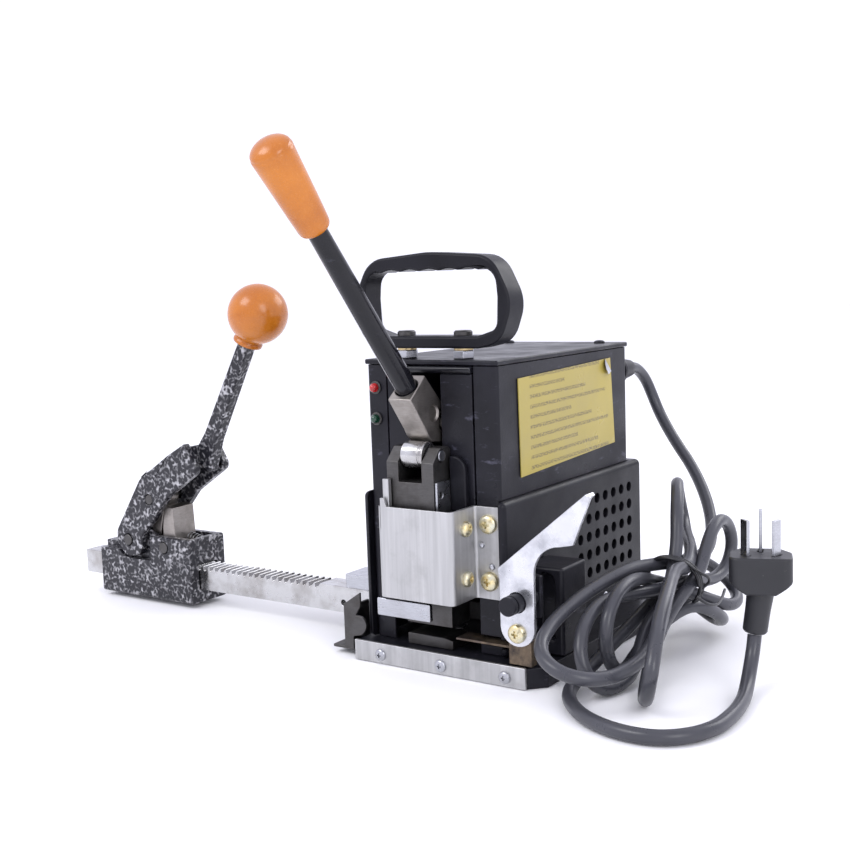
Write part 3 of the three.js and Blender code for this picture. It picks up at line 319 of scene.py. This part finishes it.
def pvc(name, base, shine=0.36):
    """PVC sheath: cool grey, a soft gloss and a few rubbed white marks."""
    n = Nodes(name)
    tint = (0.93, 0.95, 1.13)
    colour = n.mix(n.span(n.noise(30, 5), 0.35, 0.68), grey(base * 0.84, tint), grey(base * 1.2, tint))
    marks = n.math("MULTIPLY", n.span(n.noise(210, 6, rough=0.72), 0.70, 0.78), 0.55)
    colour = n.mix(marks, colour, grey(0.5))
    n.bump(n.noise(420, 3), 0.08)
    return n.finish(colour, n.span(n.noise(90, 5), 0.3, 0.7, shine - 0.06, shine + 0.1))


def sticker():
    """Yellow instruction sticker: plain bars stand in for its rows of print."""
    n = Nodes("yellow_label")
    low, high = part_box("label")
    y, z = n.axis("Y"), n.axis("Z")
    across = n.math("DIVIDE", n.math("SUBTRACT", y, low[1]), high[1] - low[1])
    down = n.math("DIVIDE", n.math("SUBTRACT", high[2] - 0.006, z), high[2] - low[2] - 0.012)
    tilt = n.math("ADD", down, n.math("MULTIPLY", across, 0.045))
    rows = n.math("MULTIPLY", tilt, 8.0)
    line = n.math("FRACT", rows)
    number = n.math("FLOOR", rows)
    in_row = n.math("MULTIPLY", n.span(line, 0.28, 0.30), n.span(line, 0.66, 0.64))
    letters = n.new("ShaderNodeTexNoise", noise_dimensions="2D")
    letters.inputs["Scale"].default_value = 1.0
    letters.inputs["Detail"].default_value = 1.0
    spot = n.new("ShaderNodeCombineXYZ")
    n.link(n.math("MULTIPLY", across, 90.0), spot.inputs[0])
    n.link(n.math("MULTIPLY", rows, 9.0), spot.inputs[1])
    n.link(spot.outputs[0], letters.inputs["Vector"])
    ink = n.math("MULTIPLY", in_row, n.span(letters.outputs["Fac"], 0.42, 0.52))
    margin = n.math("MULTIPLY", n.span(across, 0.10, 0.11), n.span(across, 0.93, 0.92))
    ends = n.math("FRACT", n.math("MULTIPLY", number, 0.37))
    row_end = n.math("ADD", 0.45, n.math("MULTIPLY", ends, 0.6))
    margin = n.math("MULTIPLY", margin, n.math("LESS_THAN", across, row_end))
    ink = n.math("MULTIPLY", n.math("MULTIPLY", ink, margin), 0.78)
    paper = n.mix(n.span(n.noise(18, 5), 0.35, 0.7), (0.43, 0.34, 0.055, 1), (0.36, 0.29, 0.075, 1))
    rubbed = n.math("MULTIPLY", n.span(n.noise(120, 7, rough=0.7), 0.62, 0.75), 0.4)
    paper = n.mix(rubbed, paper, (0.50, 0.44, 0.24, 1))
    colour = n.mix(ink, paper, (0.10, 0.075, 0.03, 1))
    n.bump(n.noise(60, 4), 0.12, 0.0004)
    return n.finish(colour, n.span(n.noise(40, 4), 0.3, 0.7, 0.26, 0.4))


def make_materials():
    return {
        "black_steel": painted("black_steel", 0.011, 0.34, 0.6),
        "black_gloss": painted("black_gloss", 0.007, 0.16, 0.3, 0.9, 0.35),
        # The dark base tone is partly the steel's own colour and partly painted shade, darkened so the
        # anvil looks shadowed.
        "dark_steel": steel("dark_steel", 0.11, 0.42, (1.0, 0.97, 0.95), 0.6),
        "black_plastic": moulded("black_plastic", 0.009, 0.36),
        "bright_steel": steel("bright_steel", 0.50, 0.26, (0.97, 0.99, 1.05), 0.22),
        "bare_steel": steel("bare_steel", 0.34, 0.38, (1.08, 1.0, 0.92), 0.6),
        "chrome_steel": chrome(),
        "aluminium": brushed_sheet(),
        "zinc_yellow": zinc_yellow(),
        "orange_plastic": glossy("orange_plastic", (0.42, 0.120, 0.007, 1), (0.55, 0.175, 0.011, 1), 0.2),
        "spring_steel": steel("spring_steel", 0.22, 0.36, stains=0.4),
        "heat_stained_steel": heat_stained(),
        "hammertone": hammered(),
        "red_lens": lens("red_lens", (0.30, 0.005, 0.006, 1), (0.62, 0.02, 0.02, 1)),
        "green_lens": lens("green_lens", (0.002, 0.025, 0.012, 1), (0.004, 0.06, 0.028, 1)),
        "yellow_label": sticker(),
        "copper": steel("copper", 0.60, 0.34, (1.0, 0.52, 0.30), 0.3),
        "grey_cord": pvc("grey_cord", 0.050, 0.3),
        "grey_plug": pvc("grey_plug", 0.016, 0.42),
        "bright_stamping": bright_stamping(),
        "silver_foil": bright_stamping(),
        "brass": steel("brass", 0.62, 0.3, (1.0, 0.78, 0.42), 0.3),
        "black_wire": pvc("black_wire", 0.012, 0.3),
    }


# ---------------------------------------------------------------- pieces

def add_object(name, mesh, slot, body, look=None, stands_for=()):
    """Puts a new mesh or curve on a CAD body, with the material of its slot or look."""
    piece = bpy.data.objects.new(name, mesh)
    scene.collection.objects.link(piece)
    mesh.materials.clear()
    mesh.materials.append(looks[look or slot])
    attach(piece, body)
    if stands_for:
        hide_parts(*stands_for)
    return piece


def soften(piece, width, segments=2, angle=33):
    """Rounds the sharp edges of a piece by `width` millimetres."""
    bevel = piece.modifiers.new("edges", "BEVEL")
    bevel.width = width * MM
    bevel.segments = segments
    bevel.limit_method = "ANGLE"
    bevel.angle_limit = radians(angle)
    bevel.use_clamp_overlap = False
    bevel.miter_outer = "MITER_ARC"
    normals = piece.modifiers.new("normals", "WEIGHTED_NORMAL")
    normals.keep_sharp = True


def finished(node, width=0.4, look=None, smooth=32, fine=0):
    """A copy of the CAD node with merged faces and rounded edges, which stands for it."""
    mesh = frame["nodes"][node].data.copy()
    shape = bmesh.new()
    shape.from_mesh(mesh)
    bmesh.ops.remove_doubles(shape, verts=shape.verts, dist=2e-6)
    if not fine:
        bmesh.ops.dissolve_limit(
            shape, angle_limit=radians(0.6), verts=shape.verts, edges=shape.edges, delimit={"NORMAL"},
        )
    shape.to_mesh(mesh)
    shape.free()
    mesh.shade_smooth()
    piece = add_object(node + "_look", mesh, slot_of[node], body_of[node], look, [node])
    if fine:
        mesh.set_sharp_from_angle(angle=radians(40))
        crease = mesh.attributes.new("crease_edge", "FLOAT", "EDGE")
        sharp = mesh.attributes.get("sharp_edge")
        if sharp:
            for i, item in enumerate(sharp.data):
                crease.data[i].value = 0.85 if item.value else 0.0
            mesh.attributes.remove(mesh.attributes["sharp_edge"])
        sub = piece.modifiers.new("round", "SUBSURF")
        sub.levels = sub.render_levels = fine
    else:
        mesh.set_sharp_from_angle(angle=radians(smooth))
        soften(piece, width)
    return piece


def lathe(name, profile, start, towards, slot, body, sides=48, look=None, stands_for=(), width=0.0):
    """A turned piece: profile is (radius, height) in millimetres along the line from start."""
    shape = bmesh.new()
    turn = Vector((0, 0, 1)).rotation_difference((towards - start).normalized())
    rings = []
    for radius, height in profile:
        if radius < 1e-6:
            rings.append([shape.verts.new(start + turn @ (Vector((0, 0, height)) * MM))])
            continue
        rings.append([
            shape.verts.new(start + turn @ (Vector((
                radius * cos(2 * pi * i / sides), radius * sin(2 * pi * i / sides), height,
            )) * MM)) for i in range(sides)
        ])
    for low, high in zip(rings, rings[1:]):
        for i in range(sides):
            j = (i + 1) % sides
            face = [low[i % len(low)], low[j % len(low)], high[j % len(high)], high[i % len(high)]]
            unique = list(dict.fromkeys(face))
            if len(unique) > 2:
                shape.faces.new(unique)
    bmesh.ops.recalc_face_normals(shape, faces=shape.faces)
    mesh = bpy.data.meshes.new(name)
    shape.to_mesh(mesh)
    shape.free()
    mesh.shade_smooth()
    mesh.set_sharp_from_angle(angle=radians(30))
    piece = add_object(name, mesh, slot, body, look, stands_for)
    if width:
        soften(piece, width, angle=30)
    return piece


def cross_cut(piece, centre, out, size):
    """Cuts a Phillips recess into a screw head."""
    cutter = bmesh.new()
    turn = Vector((0, 0, 1)).rotation_difference(out)
    for quarter in (0, 1):
        made = bmesh.ops.create_cube(cutter, size=1.0)["verts"]
        for v in made:
            taper = 1.0 if v.co.z > 0 else 0.45
            wide, thin = size * taper, size * 0.22
            x, y = (wide, thin) if quarter else (thin, wide)
            local = Vector((v.co.x * 2 * x, v.co.y * 2 * y, v.co.z * size * 1.2))
            v.co = centre + turn @ (local * MM)
    mesh = bpy.data.meshes.new("cutter")
    cutter.to_mesh(mesh)
    cutter.free()
    tool = bpy.data.objects.new("cutter", mesh)
    scene.collection.objects.link(tool)
    cut = piece.modifiers.new("recess", "BOOLEAN")
    cut.operation = "DIFFERENCE"
    cut.solver = "EXACT"
    cut.use_self = True
    cut.object = tool
    apply_modifiers(piece)
    bpy.data.objects.remove(tool)


def apply_modifiers(piece):
    """Turns a piece's modifiers into its own mesh."""
    graph = bpy.context.evaluated_depsgraph_get()
    made = bpy.data.meshes.new_from_object(piece.evaluated_get(graph))
    piece.modifiers.clear()
    piece.data = made
    made.set_sharp_from_angle(angle=radians(30))


def screw(name, seat, out, radius, height, slot, body, look=None, stands_for=()):
    """Pan-head cross-recessed screw standing on `seat`."""
    profile = [(0, -0.2), (radius * 0.98, -0.2), (radius, 0.1 * height)]
    for i in range(7):
        a = radians(8 + 82 * i / 6)
        profile.append((radius * cos(a) ** 0.75, height * (0.25 + 0.75 * sin(a))))
    profile[-1] = (0, height)
    piece = lathe(name, profile, seat, seat + out * MM, slot, body, 32, look, stands_for)
    cross_cut(piece, seat + out * height * MM, out, radius * 0.55)
    return piece


def tube(name, points, radius, slot, body, look=None, stands_for=()):
    """Round wire or cord along points given in millimetres."""
    curve = bpy.data.curves.new(name, "CURVE")
    curve.dimensions = "3D"
    curve.bevel_depth = radius * MM
    curve.bevel_resolution = 6
    curve.use_fill_caps = True
    line = curve.splines.new("POLY")
    line.points.add(len(points) - 1)
    for spot, p in zip(line.points, points):
        spot.co = (p[0] * MM, p[1] * MM, p[2] * MM, 1)
    line.use_smooth = True
    return add_object(name, curve, slot, body, look, stands_for)


def smooth_route(points, step=3.0):
    """Centripetal Catmull-Rom curve through the points, about `step` millimetres between samples."""
    p = [Vector(q) for q in points]
    p = [2 * p[0] - p[1], *p, 2 * p[-1] - p[-2]]
    out = []
    for a, b, c, d in zip(p, p[1:], p[2:], p[3:]):
        t1 = (b - a).length ** 0.5
        t2 = t1 + (c - b).length ** 0.5
        t3 = t2 + (d - c).length ** 0.5
        count = max(2, round((c - b).length / step))
        for i in range(count):
            t = t1 + (t2 - t1) * i / count
            q1 = a * ((t1 - t) / t1) + b * (t / t1)
            q2 = b * ((t2 - t) / (t2 - t1)) + c * ((t - t1) / (t2 - t1))
            q3 = c * ((t3 - t) / (t3 - t2)) + d * ((t - t2) / (t3 - t2))
            r1 = q1 * ((t2 - t) / t2) + q2 * (t / t2)
            r2 = q2 * ((t3 - t) / (t3 - t1)) + q3 * ((t - t1) / (t3 - t1))
            out.append(r1 * ((t2 - t) / (t2 - t1)) + r2 * ((t - t1) / (t2 - t1)))
    out.append(p[-2])
    return out


# ---------------------------------------------------------------- mains cord

CORD = 7.2

LEAD = [
    (33, 98.7, 150), (33, 106, 149.6), (33.2, 114, 146.5), (34.4, 121, 140), (36.5, 125, 131),
    (41, 125.5, 120), (48.5, 121.5, 110), (58, 115, 100.5), (70, 107, 89.5), (81, 97, 78.5),
    (91, 84.5, 67), (98.5, 70, 56), (103, 52, 49), (104, 30, 47), (101, 14, 47.5),
]
BIG_LOOP = [
    (97, 1, 49), (89, -26, 50), (82, -51, 46), (78.5, -73, 41), (77.8, -90, 36), (80.5, -104, 31),
    (87.5, -113, 27), (97.5, -115.5, 23), (107.5, -110.5, 20), (114.5, -99, 18.5), (118, -85, 19),
    (119, -70, 21), (118, -56, 24.5), (115.5, -41, 29.5), (111.5, -25, 35.5), (107.5, -9, 42.5),
]
HIGH_LOOP = [
    (104.3, 4, 51), (103, 10, 62), (100.5, 16, 74), (96, 27, 84.5), (90, 41, 88.5), (84.5, 54, 83.5),
    (82.5, 62, 73.5), (85, 61, 63.5), (91.5, 49, 58), (100, 33, 56), (107.5, 17, 53),
]
FRONT_LOOP = [
    (111.6, 1, 50), (113.5, -16, 52.5), (118.5, -34, 53), (124.5, -54, 49.5), (129.5, -73, 43.5),
    (133.5, -88, 34), (135, -96.5, 23), (132, -94.5, 12), (126, -84, 5), (119.5, -70, 4), (114.5, -56, 8),
    (111, -42, 17), (110, -28, 27), (111, -14, 36),
]
SIDE_LOOP = [
    (111.6, 1, 42), (112, 13, 48), (112, 23, 57), (112, 34, 65), (112, 47, 68), (112, 59.5, 62.5),
    (112, 64.5, 51), (111, 59, 40), (109, 46, 35), (106.5, 30, 36), (105, 14, 39.5),
]
LOW_LOOP = [
    (104.3, 1, 41.5), (98, -17, 42), (92, -36, 43), (89, -53, 42.5), (88.5, -68, 38.5), (90, -80, 31),
    (93, -86.5, 21), (97, -86, 11.5), (101, -79, 5), (104, -68, 3.9), (105, -55, 6.5), (103.5, -42, 14),
    (102, -30, 22), (103, -15, 30),
]
BACK_LOOP = [
    (104.3, 1, 35), (103, 16, 41), (99, 31, 45), (95.5, 46, 45.5), (96, 60, 41), (102, 71, 33),
    (110.5, 73, 24.5), (117, 65, 19), (118.5, 51, 19), (114.5, 37, 24.5), (107, 22, 32.5),
    (100.5, 10, 38.5),
]
INNER_LOOP = [
    (97, -2, 42.5), (97.5, -16, 46.5), (98, -32, 49.3), (98, -46, 49), (98, -58, 45), (98, -66.5, 36.5),
    (98, -69, 26), (98, -65.5, 15.5), (97.5, -57.5, 8), (97, -46, 4.6), (97, -34, 8), (99, -24, 14.5),
    (104, -12, 22), (109.5, -2, 27),
]
FAR_LOOP = [
    (113.5, 8, 27.5), (117, 20, 23), (118, 33, 16.5), (114.5, 46, 10.5), (106.5, 55, 8), (97, 58, 12),
    (89.5, 52, 20), (87.5, 39, 27.5), (90, 25, 32), (94, 12, 34),
]
TAIL = [
    (96, 0, 33), (94.5, -14, 28.5), (91.5, -29, 22), (88.5, -43, 16), (86.5, -56, 11),
    (85.5, -68, 8), (85.4, -79, 5.4), (88, -90, 4.1), (95, -102, 3.9), (107, -114, 3.9),
    (121, -122, 3.9), (136, -125.5, 3.9), (150, -123.5, 3.9), (161, -114.5, 3.9), (167.5, -100, 3.9),
    (168.5, -81, 3.9), (167, -66, 3.9), (164.4, -53, 4.2), (162, -42.5, 7), (160.4, -34.5, 12),
    (159.7, -28.6, 19), (159.7, -26, 26.8),
]


def settle(route, gap=5.0):
    """Eases strands that run into each other apart, without putting a kink in any of them."""
    rough = np.array([tuple(p) for p in route])
    along = np.r_[0, np.cumsum(np.linalg.norm(np.diff(rough, axis=0), axis=1))]
    count = int(along[-1] / gap)
    marks = np.linspace(0, along[-1], count)
    laid = np.stack([np.interp(marks, along, rough[:, k]) for k in range(3)], axis=1)
    order = np.arange(count)
    apart = np.abs(order[:, None] - order[None, :]) > 5
    shift = np.zeros_like(laid)
    for _ in range(160):
        now = laid + shift
        away = now[:, None, :] - now[None, :, :]
        size = np.linalg.norm(away, axis=2) + 1e-9
        push = np.where(apart & (size < CORD + 0.3), (CORD + 0.3 - size) * 0.4 / size, 0)
        shift += (away * push[:, :, None]).sum(axis=1)
        shift[:, 2] = np.maximum(shift[:, 2], CORD / 2 + 0.2 - laid[:, 2])
        shift[:3] = shift[-4:] = 0
        shift[1:-1] = 0.25 * shift[:-2] + 0.5 * shift[1:-1] + 0.25 * shift[2:]
    return [Vector(p) for p in laid + shift]


def make_cord():
    route = smooth_route(settle(smooth_route(
        LEAD + BIG_LOOP + HIGH_LOOP + FRONT_LOOP + SIDE_LOOP + LOW_LOOP + BACK_LOOP + INNER_LOOP
        + FAR_LOOP + TAIL
    )), 2.5)
    cord = tube(
        "mains_cord", route, CORD / 2, "grey_cord", "head",
        stands_for=("cord_lead", "cord_hank", "cord_tail"),
    )
    plug = finished("plug_body", 0.9)
    pins = [finished(name, 0.25) for name in ("plug_pin_left", "plug_pin_earth", "plug_pin_right")]
    tie = make_tie()


def make_tie():
    """Black wire twisted round the hank: three turns and two loose ends."""
    turns = []
    for i in range(109):
        a = i / 36 * 2 * pi
        squash = 1.0 + 0.04 * sin(3 * a)
        turns.append((
            104.3 + 15.4 * cos(a) * squash,
            2 - 5 * sin(a) - 3 + 6.4 * i / 108,
            41.4 + 15.2 * sin(a) * squash,
        ))
    wire = tube("tie_wire", smooth_route(turns, 1.5), 0.95, "grey_cord", "head", "black_wire")
    ends = [
        [(119, -3, 36), (122, 4, 31), (123.5, 14, 28), (122, 26, 28.5), (120, 36, 31)],
        [(118.5, 3, 38), (122.5, 6, 42), (124, 2, 46), (121, -4, 50), (114, -6, 55)],
    ]
    return [wire] + [
        tube(f"tie_end_{i}", smooth_route(points, 1.5), 0.8, "grey_cord", "head", "black_wire")
        for i, points in enumerate(ends)
    ]


# ---------------------------------------------------------------- head

def lower_cover():
    """The moulded cover again, with round vents in place of the coarse ones."""

    def box(x0, x1, y0, y1, z0, z1, target):
        for v in bmesh.ops.create_cube(target, size=1.0)["verts"]:
            v.co = mm(
                x0 if v.co.x < 0 else x1, y0 if v.co.y < 0 else y1, z0 if v.co.z < 0 else z1,
            )

    def solid(name, fill):
        made = bmesh.new()
        fill(made)
        bmesh.ops.recalc_face_normals(made, faces=made.faces)
        mesh = bpy.data.meshes.new(name)
        made.to_mesh(mesh)
        made.free()
        return mesh

    low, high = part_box("lower_cover")
    x1, y0, y1, z0, z1 = (v / MM for v in (high[0], low[1], high[1], low[2], high[2]))
    outer = solid("lower_cover_look", lambda b: box(-x1, x1, y0, y1, z0, z1, b))
    cover = add_object("lower_cover_look", outer, "black_plastic", "head", None, ["lower_cover"])
    soft = cover.modifiers.new("corners", "BEVEL")
    soft.width = 3.4 * MM
    soft.segments = 5
    soft.limit_method = "NONE"
    apply_modifiers(cover)

    def vents(made):
        for j in range(6):
            z = 26.5 + 10.6 * j
            for i in range(7):
                side = 4.6 + 10.7 * i
                rear = -32.1 + 10.7 * i
                for centre, axis in (((0, side, z), "Y"), ((rear, 84, z), "X")):
                    spin = Matrix.Rotation(pi / 2, 4, axis)
                    depth = 120 if axis == "Y" else 14
                    bmesh.ops.create_cone(
                        made, segments=24, radius1=3 * MM, radius2=3 * MM, depth=depth * MM,
                        cap_ends=True, matrix=Matrix.Translation(mm(*centre)) @ spin,
                    )

    cutters = [
        solid("c0", lambda b: box(-42.3, 42.3, -90, 76.3, 0, 200, b)),
        solid("c1", lambda b: box(-x1 + 2.6, x1 - 2.6, 74, y1 - 2.6, 0, z1 - 2.6, b)),
        solid("c2", vents),
        solid("c3", lambda b: box(40, 50, -90, -60, 16.4, 21.4, b)),
    ]
    for mesh in cutters:
        tool = bpy.data.objects.new("cutter", mesh)
        scene.collection.objects.link(tool)
        cut = cover.modifiers.new("cut", "BOOLEAN")
        cut.solver = "EXACT"
        cut.object = tool
        apply_modifiers(cover)
        bpy.data.objects.remove(tool)
    soften(cover, 0.35)


def head():
    for node, width in {
        "base_plate": 0.6, "front_strip": 0.3, "left_bracket": 0.5, "anvil": 0.4, "chassis": 0.35,
        "top_plate": 0.7, "frame_plate_left": 0.4, "frame_plate_right": 0.4, "spring_cover": 0.7,
        "guard_plate": 0.25, "guide_strip": 0.3, "strap_bar": 0.4, "heater_bracket": 0.5,
        "heater_shield": 1.2, "rack_clamp": 0.6, "rack_bar": 0.3, "transformer_core": 0.5,
        "transformer_coil": 1.0, "carry_handle": 1.3, "crossbar": 0.5, "label": 0.1,
    }.items():
        finished(node, width)
    for node in ("cable_gland", "heater_pin", "lever_pivot_pin", "press_spring"):
        finished(node, 0.3)
    lower_cover()
    out = Vector((0, -1, 0))
    for node, z in (("guard_screw_upper", 82.4), ("guard_screw_lower", 51.7)):
        screw(node + "_look", mm(35.6, -77.9, z), out, 5.2, 3.2, "zinc_yellow", "head", None, [node])
    for i, x in enumerate((-30, 10, 50)):
        screw(f"strip_screw_{i}", mm(x, -89.3, 5.2), out, 3.4, 1.9, "bright_steel", "head")
    for i, z in enumerate((80.8, 54.2)):
        screw(f"wall_screw_{i}", mm(27, -87, z), Vector((1, 0, 0)), 4.2, 3.2, "zinc_yellow", "head")
    for i, (x, y) in enumerate(((-34, 64), (30, 64))):
        screw(f"top_screw_{i}", mm(x, y, 168), Vector((0, 0, 1)), 3.4, 1.8, "black_steel", "head")
    screw("side_screw", mm(46, 34, 18.5), Vector((1, 0, 0)), 3.0, 1.5, "bright_steel", "head")
    screw("clamp_screw", mm(-66, -42, 37), Vector((0, 0, 1)), 5.0, 3.6, "bright_steel", "head")
    for i, (x, z) in enumerate(((31, 70.9), (37, 59.6))):
        dome = [(1.9, -0.2), (1.9, 0.2), (1.5, 0.9), (0.8, 1.3), (0, 1.4)]
        lathe(f"rivet_{i}", dome, mm(x, -77.8, z), mm(x, -80, z), "bright_steel", "head", 24)
    for side, x in (("left", -20.4), ("right", 16.4)):
        handle_bolt(side, x)
    led("led_red", 152.4, "red_lens")
    led("led_green", 135.2, "green_lens")
    folded_corner()


def handle_bolt(side, x):
    """Hexagon nut on the plate, brass washer under the handle and the bolt's head in it."""
    seat, up = mm(x, -67, 168), mm(x, -67, 169)
    lathe(
        f"handle_nut_{side}", [(0, 0.2), (5.9, 0.2), (6.2, 0.6), (6.2, 4.4), (5.9, 4.8), (0, 4.8)],
        seat, up, "bright_steel", "head", 6, None, [f"handle_bolt_{side}"], 0.2,
    )
    lathe(
        f"handle_washer_{side}", [(2.6, 4.8), (5.2, 4.8), (5.2, 5.8), (2.6, 5.8)], seat, up,
        "bright_steel", "head", 32, "brass",
    )
    lathe(
        f"handle_head_{side}", [(0, 12.6), (5.0, 12.6), (5.0, 14.4), (4.2, 15.2), (0, 15.4)], seat, up,
        "bright_steel", "head", 32, "dark_steel",
    )


def led(node, z, slot):
    """Indicator: chromed bezel, with a domed lens in it."""
    seat, out = mm(-36, -76.1, z), mm(-36, -90, z)
    dome = [(0, 0.2), (2.5, 0.2), (2.5, 2.0)] + [
        (2.5 * cos(radians(a)), 2.0 + 2.7 * sin(radians(a))) for a in range(15, 90, 15)
    ] + [(0, 4.7)]
    lathe(node + "_look", dome, seat, out, slot, "head", 32, None, [node])
    lathe(
        node + "_bezel", [(2.6, 0), (3.6, 0), (3.6, 0.8), (3.2, 1.2), (2.6, 1.2), (2.6, 0)], seat, out,
        "bright_steel", "head", 32, "dark_steel",
    )


def folded_corner():
    """Top rear corner of the sticker, bent over with its silver back showing."""
    shape = bmesh.new()
    corner = [(43.1, 45, 160), (43.1, 53, 152), (44.6, 46.5, 150.5), (45.4, 42, 154), (44.4, 42.5, 158)]
    shape.faces.new([shape.verts.new(mm(*p)) for p in corner])
    mesh = bpy.data.meshes.new("folded_corner")
    shape.to_mesh(mesh)
    shape.free()
    piece = add_object("folded_corner", mesh, "yellow_label", "head", "silver_foil")
    thick = piece.modifiers.new("thick", "SOLIDIFY")
    thick.thickness = 0.15 * MM


# ---------------------------------------------------------------- moving parts

def press():
    finished("lever_block", 0.6)
    finished("lever_rod", 0.2)
    finished("lever_grip", fine=1)
    finished("ram_block", 0.4)
    finished("ram_side_plate", 0.2)
    finished("roller_pin", 0.3)
    finished("roller", 0.25)


def heater():
    finished("heater_lever", 0.3, "bright_stamping")
    finished("heater_block", 0.6)
    finished("heater_blade", 0.15)
    screw(
        "heater_screw_look", mm(60.5, -93, 31), Vector((0, -1, 0)), 5.0, 3.0, "bright_steel",
        "heater_lever", "zinc_yellow", ["heater_screw"],
    )


def tensioner():
    finished("carriage_body", 0.5)
    for node in ("tension_pin", "pawl_pin", "drive_pin"):
        finished(node, 0.5)
    finished("tension_lever", 0.9)
    finished("ball_knob", fine=1)
    finished("hold_pawl", 0.4)
    finished("drive_pawl", 0.4)
    finished("pawl_spring", 0.1)


# ---------------------------------------------------------------- stage

def area_light(name, place, aim, size, power, tint=(1, 1, 1)):
    data = bpy.data.lights.new(name, "AREA")
    data.shape = "RECTANGLE"
    data.size, data.size_y = size
    data.energy = power
    data.color = tint
    light = bpy.data.objects.new(name, data)
    scene.collection.objects.link(light)
    light.location = place
    light.rotation_euler = (Vector(aim) - Vector(place)).to_track_quat("-Z", "Y").to_euler()


def stage():
    bpy.ops.mesh.primitive_plane_add(size=12, location=(0, 0, -0.0002))
    floor = bpy.context.object
    floor.name = "floor"
    n = Nodes("floor")
    shade = n.mix(n.span(n.noise(2, 2), 0.3, 0.7), grey(0.93), grey(0.96))
    floor.data.materials.append(n.finish(shade, 0.9))
    world = bpy.data.worlds.new("studio")
    scene.world = world
    world.use_nodes = True
    world.node_tree.nodes["Background"].inputs[0].default_value = (0.98, 0.98, 1.12, 1)
    world.node_tree.nodes["Background"].inputs[1].default_value = 1.10
    area_light("key", (-0.7, -1.3, 1.5), (0, 0, 0.08), (1.0, 0.8), 13)
    area_light("fill", (1.5, -0.9, 0.9), (0, 0, 0.08), (0.7, 1.0), 8)
    area_light("back", (0.6, 1.4, 1.1), (0, 0, 0.1), (1.2, 0.7), 8)
    scene.view_settings.view_transform = "Standard"


make_camera()
looks = make_materials()
make_cord()
head()
press()
heater()
tensioner()
stage()
